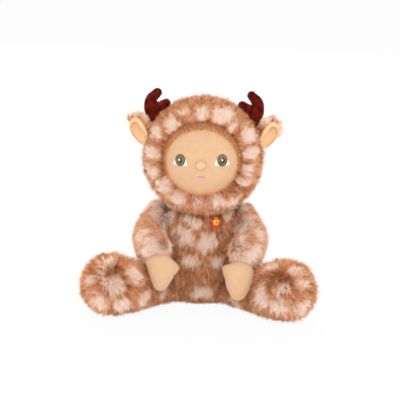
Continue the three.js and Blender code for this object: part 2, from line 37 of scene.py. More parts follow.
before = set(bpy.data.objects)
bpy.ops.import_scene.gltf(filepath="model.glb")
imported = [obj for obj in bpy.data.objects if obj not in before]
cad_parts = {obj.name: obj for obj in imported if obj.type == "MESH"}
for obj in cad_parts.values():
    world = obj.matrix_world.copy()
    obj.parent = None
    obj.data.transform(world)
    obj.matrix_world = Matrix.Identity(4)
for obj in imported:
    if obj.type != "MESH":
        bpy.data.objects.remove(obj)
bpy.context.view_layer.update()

# Sizes are in millimetres, as in the CAD source, and become metres when a mesh is made.
MM = 0.001
SIDES = {"left": -1, "right": 1}
HEAD_CENTRE = np.array([0.0, -5.0, 146.7])
HEAD_RADIUS = 53.2
HEAD_TURN = 2.0  # degrees that the head looks to one side
FACE_TILT = 2.2  # degrees that the face looks up
SHOULDER = np.array([45.55, -3.0, 84.0])
HIP = np.array([24.0, -21.0, 12.5])
LEG_SPLAY = math.radians(51.7)
LEG_LENGTH = 78.3
FOOT_RADIUS = 30.5
HIP_RADIUS = 13.0
TORSO_SQUASH = 0.88  # its depth as a share of its width
UPWARDS = np.array([0.0, 0.0, 1.0])

PILE_MAP = "OFBake"
DENSITY = 5.0  # strands per square millimetre
FLOOR_GAP = 0.35  # how far the pile keeps above the floor


# Numbers and directions


def unit(vectors):
    vectors = np.asarray(vectors, float)
    size = np.linalg.norm(vectors, axis=-1, keepdims=True)
    return vectors / np.maximum(size, 1e-9)


def dots(first, second):
    return np.sum(first * second, axis=1)


def along_surface(ways, normals):
    """The ways, laid flat on a surface with these normals."""
    return unit(ways - normals * dots(ways, normals)[:, None])


def step(low, high, values):
    """A soft step from 0 at the low value to 1 at the high one."""
    t = np.clip((values - low) / (high - low), 0, 1)
    return t * t * (3 - 2 * t)


def angle_between(ways, axis):
    return np.arccos(np.clip(ways @ axis, -1, 1))


def round_steps(count):
    """Angles at even steps round a circle."""
    return np.arange(count) / count * 2 * math.pi


def head_direction(azimuth, elevation):
    a = math.radians(azimuth - HEAD_TURN)
    e = math.radians(elevation)
    return np.array([math.sin(a) * math.cos(e), -math.cos(a) * math.cos(e), math.sin(e)])


def patch_axes(out):
    """Rightwards and upwards, as seen by somebody who looks at a patch that faces out."""
    right = unit(np.cross(UPWARDS, out))
    right = right if right[0] > 0 else -right
    up = unit(np.cross(out, right))
    return right, up if up[2] > 0 else -up


def smooth_curve(points, count, closed=False):
    """Points at even steps of a Catmull-Rom curve through the given ones."""
    points = np.asarray(points, float)
    last = len(points) if closed else len(points) - 1
    t = np.linspace(0, last, count, endpoint=not closed)
    i = np.minimum(t.astype(int), last - 1)
    f = (t - i)[:, None]
    if closed:
        a, b, c, d = (points[(i + k) % len(points)] for k in (-1, 0, 1, 2))
    else:
        ends = np.vstack([2 * points[0] - points[1], points, 2 * points[-1] - points[-2]])
        a, b, c, d = (ends[i + k] for k in range(4))
    square = (2 * a - 5 * b + 4 * c - d) * f**2
    return 0.5 * (2 * b + (c - a) * f + square + (3 * b - a - 3 * c + d) * f**3)


def scatter(*keys):
    """A repeatable number from 0 to 1 for each set of whole keys."""
    total = sum(k * s for k, s in zip(keys, (12.9898, 78.233, 37.719)))
    return np.mod(np.sin(total) * 43758.5453, 1.0)


def ripple(points, scale, seed):
    """A soft uneven field from about -1 to 1, with features of the given size."""
    waves = 5
    rng = np.random.default_rng(seed)
    total = np.zeros(len(points))
    for _ in range(waves):
        way = unit(rng.normal(size=3)) * 2 * math.pi / scale * rng.uniform(0.6, 1.4)
        total += np.sin(points @ way + rng.uniform(0, 2 * math.pi))
    return total / (0.52 * waves)


def nearest_of(points, seeds, chunk=20000):
    """For each point, which seed is nearest."""
    found = np.empty(len(points), int)
    seeds = seeds.astype(np.float32)
    square = (seeds**2).sum(1)
    for start in range(0, len(points), chunk):
        part = points[start : start + chunk].astype(np.float32)
        found[start : start + chunk] = np.argmin(square - 2 * part @ seeds.T, axis=1)
    return found


# Forms: points and faces


class Form:
    """A closed surface of four-sided and three-sided faces, which point outwards."""

    def __init__(self, points, quads, caps):
        self.points, self.quads, self.caps = points, quads, caps
        first, second, third = np.moveaxis(points[self.triangles()] - points.mean(0), 1, 0)
        if np.sum(first * np.cross(second, third)) < 0:
            self.quads, self.caps = quads[:, ::-1], caps[:, ::-1]

    def triangles(self):
        q = self.quads
        return np.concatenate([q[:, [0, 1, 2]], q[:, [0, 2, 3]], self.caps])

    def double_areas(self):
        """Each triangle's outward normal, as long as twice the triangle's area."""
        first, second, third = np.moveaxis(self.points[self.triangles()], 1, 0)
        return np.cross(second - first, third - first)

    def normals(self):
        total = np.zeros_like(self.points)
        for corner in self.triangles().T:
            np.add.at(total, corner, self.double_areas())
        return unit(total)

    def sample(self, per_mm2, rng):
        """Points spread evenly over the form, with its smooth normals there."""
        areas = np.linalg.norm(self.double_areas(), axis=1) / 2
        count = int(areas.sum() * per_mm2)
        which = rng.choice(len(areas), count, p=areas / areas.sum())
        u, v = rng.random((2, count))
        over = u + v > 1
        u[over], v[over] = 1 - u[over], 1 - v[over]
        weights = np.stack([1 - u - v, u, v], 1)[:, :, None]
        corners = self.triangles()[which]
        return (self.points[corners] * weights).sum(1), unit((self.normals()[corners] * weights).sum(1))


def ring_faces(low, high, around):
    """Faces between two rings whose points are numbered from low and from high."""
    i = np.arange(around)
    j = (i + 1) % around
    return np.stack([low + i, low + j, high + j, high + i], 1)


def ringed_form(first, rings, last):
    """A closed form of rings between two end points."""
    rings = np.asarray(rings, float)
    rows, around, _ = rings.shape
    points = np.vstack([[first], rings.reshape(-1, 3), [last]])
    starts = 1 + np.arange(rows) * around
    quads = np.concatenate([ring_faces(low, low + around, around) for low in starts[:-1]])
    i = np.arange(around)
    j = (i + 1) % around
    top = np.stack([np.zeros_like(i), 1 + j, 1 + i], 1)
    bottom = np.stack([np.full_like(i, len(points) - 1), starts[-1] + i, starts[-1] + j], 1)
    return Form(points, quads, np.concatenate([top, bottom]))


def band_form(rings):
    """A closed band: rings joined round, with no end points."""
    rows, around, _ = rings.shape
    quads = [ring_faces(r * around, (r + 1) % rows * around, around) for r in range(rows)]
    return Form(rings.reshape(-1, 3), np.concatenate(quads), np.zeros((0, 3), int))


def mesh_form(mesh):
    """The form of a finished mesh."""
    mesh.calc_loop_triangles()
    points = np.empty(len(mesh.vertices) * 3)
    mesh.vertices.foreach_get("co", points)
    triangles = np.empty(len(mesh.loop_triangles) * 3, dtype=np.int32)
    mesh.loop_triangles.foreach_get("vertices", triangles)
    return Form(points.reshape(-1, 3) / MM, np.zeros((0, 4), int), triangles.reshape(-1, 3))


def ellipse_ring(centre, across, half_width, up, half_depth, sides):
    angles = round_steps(sides)
    width = np.outer(np.cos(angles) * half_width, across)
    return centre + width + np.outer(np.sin(angles) * half_depth, up)


def swept_form(spine, half_widths, half_depths, normal, sides=48, steps=24, domes=8, grow=0.0):
    """A stuffed form along a smooth spine, domed at both ends."""
    last = 200
    centres = smooth_curve(spine, last + 1)
    widths, depths = (
        smooth_curve(np.array(halves)[:, None], last + 1)[:, 0] + grow
        for halves in (half_widths, half_depths)
    )
    tangents = unit(np.gradient(centres, axis=0))

    def ring(k, offset, scale):
        across = unit(np.cross(tangents[k], normal))
        up = unit(np.cross(across, tangents[k]))
        centre = centres[k] + tangents[k] * offset
        return ellipse_ring(centre, across, widths[k] * scale, up, depths[k] * scale, sides)

    dome = [(i / (domes + 1)) * math.pi / 2 for i in range(1, domes + 1)]
    low, high = (min(widths[k], depths[k]) for k in (0, last))
    rings = [ring(0, -low * math.cos(angle), math.sin(angle)) for angle in dome]
    rings += [ring(k, 0, 1) for k in range(0, last + 1, last // steps)]
    rings += [ring(last, high * math.cos(angle), math.sin(angle)) for angle in dome[::-1]]
    return ringed_form(centres[0] - tangents[0] * low, rings, centres[last] + tangents[last] * high)


def turned_form(profile, sides, origin, axis, across, squash=1.0):
    """A form turned about an axis: the profile's points are radius and height."""
    up = unit(np.cross(axis, across))
    rings = [
        ellipse_ring(origin + axis * height, across, radius, up, radius * squash, sides)
        for radius, height in profile[1:-1]
    ]
    return ringed_form(origin + axis * profile[0][1], rings, origin + axis * profile[-1][1])


def pillow(outline, place, depth_at, back_at, rows=10):
    """A padded patch: rings of the outline shrink to its middle on the front and on the back."""
    shares = np.sin(np.linspace(0, 1, rows + 1)[1:] * math.pi / 2)
    front = [place(outline * s, depth_at(s)) for s in shares]
    back = [place(outline * s, back_at(s)) for s in shares[-2::-1]]
    middle = np.zeros((1, 2))
    return ringed_form(place(middle, depth_at(0))[0], front + back, place(middle, back_at(0))[0])


def stitched_pillow(outline, place, low, high, under, rows=10):
    """A patch of thread, high in its middle and low at its edge, with its back under the cloth."""
    rise = high - low
    return pillow(outline, place, lambda s: low + rise * (1 - s**4) ** 0.5, lambda s: low - under, rows)


def oval(half_width, half_height, count=40):
    angles = round_steps(count)
    return np.stack([half_width * np.cos(angles), half_height * np.sin(angles)], 1)


# Blender objects


def deselect():
    for o in bpy.context.selected_objects:
        o.select_set(False)


def finish_piece(piece, material, body, slot):
    piece.data.shade_smooth()
    piece.data.materials.append(material)
    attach(piece, body)
    return piece


def add_piece(name, mesh, material, body, slot):
    piece = bpy.data.objects.new(name, mesh)
    bpy.context.scene.collection.objects.link(piece)
    return finish_piece(piece, material, body, slot)


def add_form(name, form, material, body, slot):
    mesh = bpy.data.meshes.new(name)
    mesh.from_pydata((form.points * MM).tolist(), [], form.quads.tolist() + form.caps.tolist())
    mesh.update()
    return add_piece(name, mesh, material, body, slot)


# Pile: strands of a few faces, rooted on a form

# A strand's five points are two at its root, two at its middle and its tip. They carry one four-sided face
# and one triangle. Its map runs a little across the tone and all the way along, from root to tip.
STRAND_CORNERS = np.array([0, 1, 3, 2, 2, 3, 4])
STRAND_FACES = np.array([0, 4])
STRAND_ACROSS = np.array([-1, 1, -1, 1, 0]) * 0.002
STRAND_ALONG = np.array([0.02, 0.02, 0.5, 0.5, 0.98])
STRAND_TAPER = 0.85  # width at the middle, as a share of the root's
STRAND_TWIST = 0.5
LENGTH_SCATTER = 0.1
# A lock's strands share these scatters, and most of one strand's tone
LOCK_LENGTH_SCATTER = 0.12
LOCK_LEAN_SCATTER = 0.14
LOCK_TONE_SCATTER = 0.09
LOCK_TONE_SHARE = 0.6
# Root and tip half of a strand: the share of the lean, and how far it strays
ROOT_HALF = (0.55, 0.6)
TIP_HALF = (1.3, 1.4)
TO_THE_FRONT = np.array([0, -0.95, 0.3])
# How near to the floor or a hand a strand is shortest, how far off it is whole, and the share of its length
# that the shortest keeps
SHORT_AT_FLOOR = (1, 13, 0.35)
SHORT_AT_HAND = (2, 13, 0.72)


def shorter_near(values, near, far, least):
    """The share of its length that a strand keeps, where the values say how far off an obstacle is."""
    return (least + (1 - least) * step(near, far, values))[:, None]


def strands(name, roots, normals, flow, tone, body, slot, material, *, length, lean, width=0.3, clump=1.35,
            clumping=0.42, unruly=0.15, droop=0.06, toward=0.55, seed=1, hand=None):
    """Tapered strands at the roots. They lean along the flow, gather in locks and stop at the floor.

    Length, width and clump, the size of a lock, are in millimetres and lean is in degrees. Toward turns the
    strands' flat sides to the front, and a hand is what the strands keep behind.
    """
    rng = np.random.default_rng(seed)
    count = len(roots)
    flow = along_surface(flow, normals)
    locks = rng.choice(count, max(1, int(count / (clump**2 * DENSITY))), replace=False)
    nearest = nearest_of(roots, roots[locks])
    lengths = length * rng.normal(1, LENGTH_SCATTER, count)
    lengths = (lengths * rng.normal(1, LOCK_LENGTH_SCATTER, len(locks))[nearest])[:, None]
    lengths = lengths * shorter_near(roots[:, 2], *SHORT_AT_FLOOR)
    if hand is not None:
        lengths = lengths * shorter_near(hand.beyond(roots), *SHORT_AT_HAND)
    lean_scatter = rng.normal(1, LOCK_LEAN_SCATTER, len(locks))[nearest]
    leans = np.radians(np.broadcast_to(lean, count) * lean_scatter)[:, None]
    stray = rng.normal(0, unruly, (count, 3)) + rng.normal(0, unruly, (len(locks), 3))[nearest]

    def leaning(share, straying):
        return normals * np.cos(share * leans) + flow * np.sin(share * leans) + stray * straying

    middles = roots + unit(leaning(*ROOT_HALF)) * lengths * 0.5
    tips = middles + unit(leaning(*TIP_HALF) + [0, 0, -droop]) * lengths * 0.5
    pull = clumping * rng.uniform(0.5, 1.2, (count, 1))
    middles, tips = (
        points + (points[locks][nearest] - points) * pull * share
        for points, share in ((middles, 0.35), (tips, 1))
    )
    tone = (1 - LOCK_TONE_SHARE) * tone + LOCK_TONE_SHARE * tone[locks][nearest]
    tone = tone + rng.normal(0, LOCK_TONE_SCATTER, len(locks))[nearest]
    if hand is not None:
        free = hand.depth(roots) <= 0
        roots, normals, middles, tips, tone = (a[free] for a in (roots, normals, middles, tips, tone))
        middles, tips = hand.tuck(middles), hand.tuck(tips)
    for part in (middles, tips):
        part[:, 2] = np.maximum(part[:, 2], FLOOR_GAP)
    points = strand_points(rng, roots, normals, middles, tips, width, toward)
    return add_piece(name, strand_mesh(name, points, tone), material, body, slot)


def strand_points(rng, roots, normals, middles, tips, width, toward):
    """The five points of each strand, whose flat side is turned as its neighbours' but for a twist."""
    way = unit(tips - roots)
    facing = normals + TO_THE_FRONT * toward
    facing = unit(facing - way * dots(facing, way)[:, None] + 1e-6)
    side = np.cross(way, facing)
    twist = rng.normal(0, STRAND_TWIST, len(roots))[:, None]
    side = side * np.cos(twist) - facing * np.sin(twist)
    half = side * (width / 2 * rng.uniform(0.75, 1.25, (len(roots), 1)))
    tapered = half * STRAND_TAPER
    points = np.stack([roots - half, roots + half, middles - tapered, middles + tapered, tips], 1)
    points[:, :, 2] = np.maximum(points[:, :, 2], FLOOR_GAP)
    return points


def strand_mesh(name, points, tone):
    """A mesh of strands. Its map holds the tone and the place between root and tip."""
    count, each, _ = points.shape
    mesh = bpy.data.meshes.new(name)
    mesh.vertices.add(count * each)
    mesh.vertices.foreach_set("co", (points * MM).astype(np.float32).ravel())
    first = np.arange(count)[:, None]
    mesh.loops.add(count * len(STRAND_CORNERS))
    mesh.loops.foreach_set("vertex_index", (first * each + STRAND_CORNERS).ravel().astype(np.int32))
    mesh.polygons.add(count * len(STRAND_FACES))
    starts = first * len(STRAND_CORNERS) + STRAND_FACES
    mesh.polygons.foreach_set("loop_start", starts.ravel().astype(np.int32))
    across = np.clip(tone, 0.01, 0.99)[:, None] + STRAND_ACROSS
    places = np.stack([across, np.broadcast_to(STRAND_ALONG, across.shape)], 2)[:, STRAND_CORNERS]
    layer = mesh.uv_layers.new(name=PILE_MAP)
    layer.uv.foreach_set("vector", places.astype(np.float32).ravel())
    mesh.update(calc_edges=True)
    return mesh


SPOT_RISE = 4  # how far off the surface, and how far along the flow, a strand shows its dye
SPOT_TRAIL = 4.5
AWAY_FROM_FRONT = np.array([0, 0.97, -0.22])
SWIRL_SHADE = 0.14


def spotted_pile(name, form, flow_at, body, *, seed, density=1.0, keep=None, rows=None, parts=1, lean=42.0,
                 ground=0.22, swirl=None, **style):
    """Pile over a form, with its pale spots. It is split where one mesh would have too many faces.

    Ground is the tone between the spots, and it darkens round a swirl. Rows place the spots that the front
    doesn't show, and the style goes to the strands.
    """
    rng = np.random.default_rng(seed)
    roots, normals = form.sample(DENSITY * density, rng)
    if keep is not None:
        kept = keep(roots, normals)
        roots, normals = roots[kept], normals[kept]
    flow = along_surface(flow_at(roots, normals), normals)
    seen = roots + normals * SPOT_RISE + flow * SPOT_TRAIL
    distance = spot_distance(SPOTS.get(name, ()), seen, flow)
    if rows is not None:
        hidden = step(-0.4, -0.1, normals @ AWAY_FROM_FRONT)
        distance = np.minimum(distance, rows(seen) + 4 * (1 - hidden))
    if swirl is not None:
        ground = ground - SWIRL_SHADE * (1 - step(2, 14, np.linalg.norm(seen - swirl, axis=1)))
    tone = tone_of(distance, seen, rng, seed, ground)
    flow = flow + rng.normal(0, 0.1, roots.shape)
    leans = lean(roots) if callable(lean) else np.full(len(roots), lean)
    turn = np.arctan2(*(roots - roots.mean(0))[:, :2].T)
    part_of = np.minimum(((turn / (2 * math.pi) + 0.5) * parts).astype(int), parts - 1)
    for k in range(parts):
        mine = part_of == k
        label = f"{name}_pile" if parts == 1 else f"{name}_pile_{k + 1}"
        strands(label, roots[mine], normals[mine], flow[mine], tone[mine], body, "pile_cloth",
                MATERIALS["pile"], lean=leans[mine], seed=seed + k + 1, **style)


# The pale spots that show from the front: middle, half length along the pile and half width
SPOTS = {
    "hood": [
        (-33, -40, 185, 12, 7), (-3, -38, 199, 10.5, 6.5), (14, -38, 197, 12, 7), (22, -34, 196, 12, 8),
        (-21, -32, 198, 8.5, 4.5), (30, -42, 186, 8.5, 4.5), (47, -33, 176, 12.5, 8), (50, -37, 158, 12.5, 6),
        (47, -43, 142, 10, 5.5), (45, -43, 129, 10, 5), (32, -39, 105, 9.5, 8.5), (16, -52, 107, 13, 7.5),
        (-4, -53, 105, 12, 7), (-26, -47, 108, 10, 8), (-40, -44, 121, 12, 10), (-53, -35, 134, 12, 7),
        (-53, -35, 154, 15, 6.5), (-51, -27, 175, 12.5, 6.5),
    ],
    "torso": [
        (-15, -32, 68, 9, 7.5), (7, -35, 64, 8, 10), (-9, -36, 46, 5, 10), (17, -34, 45, 5, 6.5),
        (3, -36, 14, 6, 10.5), (-5, -32, 83, 5, 7), (-22, -29, 76, 6, 5.5), (28, -19, 92, 6.5, 6),
        (-30, -19, 86, 6, 6), (-28, -24, 72, 6, 4), (-16, -29, 88, 5, 5),
    ],
    "sleeve_left": [
        (-45, -11, 98, 9, 10), (-57, -9, 95, 6, 6), (-41, -24, 89, 8, 11), (-35, -30, 82, 7, 8),
        (-59, -49, 76, 9.5, 8), (-46, -69, 67, 8.5, 13.5), (-33, -66, 62, 7.5, 9.5),
        (-55, -66, 58, 7, 7.5),
    ],
    "sleeve_right": [
        (41, -10, 98, 6, 9), (44, -30, 87, 7, 14), (38, -61, 76, 7, 11), (60, -41, 80, 6.5, 7),
        (33, -66, 61, 6.5, 10), (51, -68, 60, 8.5, 12), (59, -62, 68, 6, 6.5),
    ],
    "leg_left": [
        (-87, -84, 56, 9, 9.5), (-95, -91, 48, 8, 6), (-78, -98, 35, 10.5, 10.5), (-88, -98, 39, 6.5, 5.5),
        (-60, -81, 43, 9, 8), (-108, -87, 37, 8.5, 5.5), (-95, -93, 16, 8, 9.5), (-71, -92, 14, 8, 8),
        (-52, -74, 16, 7.5, 6), (-33, -54, 17, 7.5, 5),
    ],
    "leg_right": [
        (92, -85, 55, 9, 6), (102, -89, 43, 7, 6), (80, -98, 37, 6, 9.5), (59, -86, 25, 11, 8.5),
        (77, -96, 17, 8, 10), (101, -91, 17, 8.5, 9), (36, -52, 9, 7.5, 6.5), (67, -73, 55, 7.5, 6),
    ],
    "ear_left": [(-60, -6, 187, 8, 7), (-50, -6, 184, 6, 5)],
    "ear_right": [(58, -6, 188, 8, 8), (76, -6, 178, 9, 7)],
}
FAR_FROM_SPOTS = 9.0


def spot_distance(spots, points, flow):
    """How far each point is from its nearest spot, where 1 is the spot's edge."""
    best = np.full(len(points), FAR_FROM_SPOTS)
    for *middle, half_length, half_width in spots:
        away = points - middle
        along = dots(away, flow)
        across = np.sqrt(np.maximum(dots(away, away) - along**2, 0))
        best = np.minimum(best, np.hypot(along / half_length, across / half_width))
    return best


def spot_rows(along, angle, girth, seed, pitch=24, half=(8, 6.4)):
    """Where the other spots lie: staggered rows along the pile, each with as many as its girth holds."""
    best = np.full(len(along), FAR_FROM_SPOTS)
    row = np.floor(along / pitch)
    number = np.maximum(3, np.round(girth / pitch))
    for r in (row - 1, row, row + 1):
        place = angle / (2 * math.pi) * number + 0.5 * np.mod(r, 2) + 0.35 * scatter(r, seed + 3)
        for near in (-1, 0, 1):
            column = np.floor(place) + near
            c = np.mod(column, number)
            shift = 0.5 * (scatter(r, c, seed) - 0.5)
            rise = 0.5 * (scatter(c, r, seed + 5) - 0.5)
            size = 0.7 + 0.75 * scatter(r + 9, c, seed + 7)
            across = (place - column - 0.5 - shift) * girth / number
            lengthways = along - (r + 0.5 + rise) * pitch
            best = np.minimum(best, np.hypot(lengthways / (half[0] * size), across / (half[1] * size)))
    return best


def tone_of(distance, points, rng, seed, ground):
    """The strand's tone: under 0.5 is rust to tan, over 0.5 is cream."""
    edge = distance + 0.24 * ripple(points, 7, seed) + rng.normal(0, 0.15, len(points))
    spot = 1 - step(0.82, 1.3, edge)
    dyed = ground + 0.08 * ripple(points, 22, seed + 1) + rng.normal(0, 0.13, len(points))
    pale = 0.86 + rng.normal(0, 0.06, len(points))
    return dyed.clip(0.02, 0.5) * (1 - spot) + pale * spot


# Materials

# Dyes of the pile, the plain cloths and the antlers
RUST = (0.62, 0.25, 0.09)
TAN = (0.82, 0.44, 0.245)
CREAM = (1.0, 0.84, 0.71)
SKIN = (0.85, 0.53, 0.31)
EAR_CLOTH = (0.92, 0.61, 0.35)
VELOUR = (0.2, 0.012, 0.007)
# Each thread's light and dark dye
THREADS = {
    "white": ((0.93, 0.92, 0.92), (0.80, 0.79, 0.81)),
    "olive": ((0.24, 0.17, 0.035), (0.13, 0.085, 0.018)),
    "dark": ((0.05, 0.032, 0.014), (0.02, 0.012, 0.006)),
    "black": ((0.012, 0.01, 0.012), (0.006, 0.005, 0.006)),
    "pink": ((0.80, 0.26, 0.36), (0.70, 0.2, 0.29)),
    "rose": ((0.93, 0.42, 0.46), (0.85, 0.33, 0.38)),
    "red": ((0.83, 0.07, 0.02), (0.7, 0.04, 0.015)),
    "yellow": ((0.95, 0.62, 0.02), (0.88, 0.5, 0.01)),
    "green": ((0.1, 0.42, 0.06), (0.06, 0.3, 0.04)),
}
LIP_THREADS = ("pink", "rose")  # laid across the mouth
THREAD_GAP = 0.45
BANDS_TO_THE_METRE = 3.2  # of a wave texture whose scale is one
JERSEY_SCALE = 520.0
LINING_DYES = ((0.45, 0.17, 0.06), (1.0, 0.55, 0.29))
NAP_DYES = ((0.08, 0.004, 0.003), (0.5, 0.07, 0.03))
MATERIALS = {}


def mixed(first, part, second, other_part):
    return tuple(part * a + other_part * b for a, b in zip(first, second))


def dimmed(colour, share):
    return tuple(share * c for c in colour)


def new_material(name):
    material = bpy.data.materials.new(name)
    material.use_nodes = True
    material.node_tree.nodes.clear()
    return material, material.node_tree


def node(tree, kind, inputs=None, **settings):
    """A new node. Another node's output is linked to its input, and any other value is set there."""
    made = tree.nodes.new(kind)
    for key, value in settings.items():
        setattr(made, key, value)
    for key, value in (inputs or {}).items():
        if isinstance(value, bpy.types.NodeSocket):
            tree.links.new(value, made.inputs[key])
        else:
            made.inputs[key].default_value = value
    return made


def ramp(tree, value, stops):
    """The colour for a value, between stops that each have a place from 0 to 1 and a colour."""
    made = node(tree, "ShaderNodeValToRGB", {"Fac": value})
    elements = made.color_ramp.elements
    while len(elements) > 1:
        elements.remove(elements[-1])
    elements[0].position, elements[0].color = stops[0][0], (*stops[0][1], 1)
    for position, colour in stops[1:]:
        elements.new(position).color = (*colour, 1)
    return made.outputs["Color"]


def noise(tree, place, **values):
    return node(tree, "ShaderNodeTexNoise", {"Vector": place, **values}).outputs["Fac"]


def wave(tree, place, direction, **values):
    inputs = {"Vector": place, **{key.replace("_", " "): value for key, value in values.items()}}
    return node(tree, "ShaderNodeTexWave", inputs, bands_direction=direction).outputs["Fac"]


def calculate(tree, operation, *values):
    return node(tree, "ShaderNodeMath", dict(enumerate(values)), operation=operation).outputs["Value"]


def object_place(tree):
    return node(tree, "ShaderNodeTexCoord").outputs["Object"]


def shared_effect(name, inputs, outputs, fill):
    """A node group that is built once. Fill makes its nodes and gives what goes to the outputs."""
    group = bpy.data.node_groups.get(name)
    if group is None:
        group = bpy.data.node_groups.new(name, "ShaderNodeTree")
        for label, kind in inputs.items():
            group.interface.new_socket(name=label, in_out="INPUT", socket_type=f"NodeSocket{kind}")
        for label in outputs:
            group.interface.new_socket(name=label, in_out="OUTPUT", socket_type="NodeSocketFloat")
        given = node(group, "NodeGroupInput").outputs
        node(group, "NodeGroupOutput", fill(group, given))
    return group


def jersey_effect():
    """Fine jersey: rows of small loops. It gives a height and a mask of uneven dye."""

    def fill(tree, given):
        scaled = node(tree, "ShaderNodeVectorMath", {0: given["Vector"], "Scale": given["Stitch Scale"]},
                      operation="SCALE").outputs["Vector"]
        rows, columns = (
            wave(tree, scaled, way, Scale=1.0, Distortion=1.2, Detail=1.0, Detail_Scale=2.0)
            for way in ("X", "Z")
        )
        fuzz = noise(tree, scaled, Scale=2.2, Detail=4.0, Roughness=0.7)
        mottle = noise(tree, scaled, Scale=0.35, Detail=3.0)
        loops = calculate(tree, "MULTIPLY", rows, columns)
        return {"Height": calculate(tree, "ADD", loops, fuzz),
                "Mottle": calculate(tree, "MULTIPLY_ADD", fuzz, 0.45, mottle)}

    sockets = {"Vector": "Vector", "Stitch Scale": "Float"}
    return shared_effect("jersey", sockets, ("Height", "Mottle"), fill)


def stitch_effect(direction):
    """Satin stitch: close threads side by side. It gives a height and a mask of light and dark threads."""

    def fill(tree, given):
        place, scale = given["Vector"], given["Thread Scale"]
        threads = wave(tree, place, direction, Scale=scale, Distortion=0.6, Detail=1.0)
        stretch = (1, 1, 0.15) if direction == "X" else (0.15, 1, 1)
        stretched = node(tree, "ShaderNodeMapping", {"Vector": place, "Scale": stretch}).outputs["Vector"]
        return {"Height": threads, "Streak": noise(tree, stretched, Scale=700.0, Detail=2.0)}

    sockets = {"Vector": "Vector", "Thread Scale": "Float"}
    return shared_effect(f"satin_stitch_{direction.lower()}", sockets, ("Height", "Streak"), fill)


def finish_material(tree, colour, roughness, height=None, strength=0.3, distance=0.0004, **shader_values):
    inputs = {"Base Color": colour, "Roughness": roughness}
    inputs.update({key.replace("_", " "): value for key, value in shader_values.items()})
    if height is not None:
        bump = node(tree, "ShaderNodeBump", {"Height": height, "Strength": strength, "Distance": distance})
        inputs["Normal"] = bump.outputs["Normal"]
    shader = node(tree, "ShaderNodeBsdfPrincipled", inputs)
    node(tree, "ShaderNodeOutputMaterial", {"Surface": shader.outputs["BSDF"]})


def pile_material(name, stops, root, tip):
    """Pile cloth: its map's first number picks the dye, its second runs from root to tip."""
    material, tree = new_material(name)
    uv = node(tree, "ShaderNodeUVMap", uv_map=PILE_MAP)
    parts = node(tree, "ShaderNodeSeparateXYZ", {"Vector": uv.outputs["UV"]})
    dye = ramp(tree, parts.outputs["X"], stops)
    # The root tint and the tip tint multiply the dye along each strand. The darker roots are partly a darker
    # root dye and partly painted shade deep in the pile. Tips brighter than the dye are partly paler tips and
    # partly a painted highlight.
    light = ramp(tree, parts.outputs["Y"], [(0.0, root), (0.5, mixed(root, 0.35, tip, 0.65)), (1.0, tip)])
    mix = node(tree, "ShaderNodeMix", {"Factor": 1.0, "A": dye, "B": light}, data_type="RGBA",
               blend_type="MULTIPLY")
    finish_material(tree, mix.outputs["Result"], 0.8, Specular_IOR_Level=0.06)
    return material


def cloth_material(name, light, dark, strength=0.45):
    """Plain jersey of the face, the hands and the ears."""
    material, tree = new_material(name)
    weave = node(tree, "ShaderNodeGroup", node_tree=jersey_effect())
    weave.inputs["Stitch Scale"].default_value = JERSEY_SCALE
    tree.links.new(object_place(tree), weave.inputs["Vector"])
    colour = ramp(tree, weave.outputs["Mottle"], [(0.45, dark), (0.95, light)])
    finish_material(tree, colour, 0.85, weave.outputs["Height"], strength, 0.0003,
                    Sheen_Weight=0.1, Sheen_Roughness=0.4, Specular_IOR_Level=0.25)
    return material


def thread_material(name, light, dark, direction="X"):
    """Embroidery thread, laid in satin stitch."""
    material, tree = new_material(name)
    stitch = node(tree, "ShaderNodeGroup", node_tree=stitch_effect(direction))
    stitch.inputs["Thread Scale"].default_value = 1 / THREAD_GAP / MM / BANDS_TO_THE_METRE
    tree.links.new(object_place(tree), stitch.inputs["Vector"])
    colour = ramp(tree, stitch.outputs["Streak"], [(0.35, dark), (0.65, light)])
    finish_material(tree, colour, 0.45, stitch.outputs["Height"], 0.5, 0.00015)
    return material


def fibre_material(name, light, dark, grain, roughness, strength, **shader_values):
    """Short close fibres: the antlers' velour and the backing that shows deep between the strands."""
    material, tree = new_material(name)
    fuzz = noise(tree, object_place(tree), **grain)
    colour = ramp(tree, fuzz, [(0.35, dark), (0.7, light)])
    finish_material(tree, colour, roughness, fuzz, strength, 0.0006,
                    Specular_IOR_Level=0.1, **shader_values)
    return material


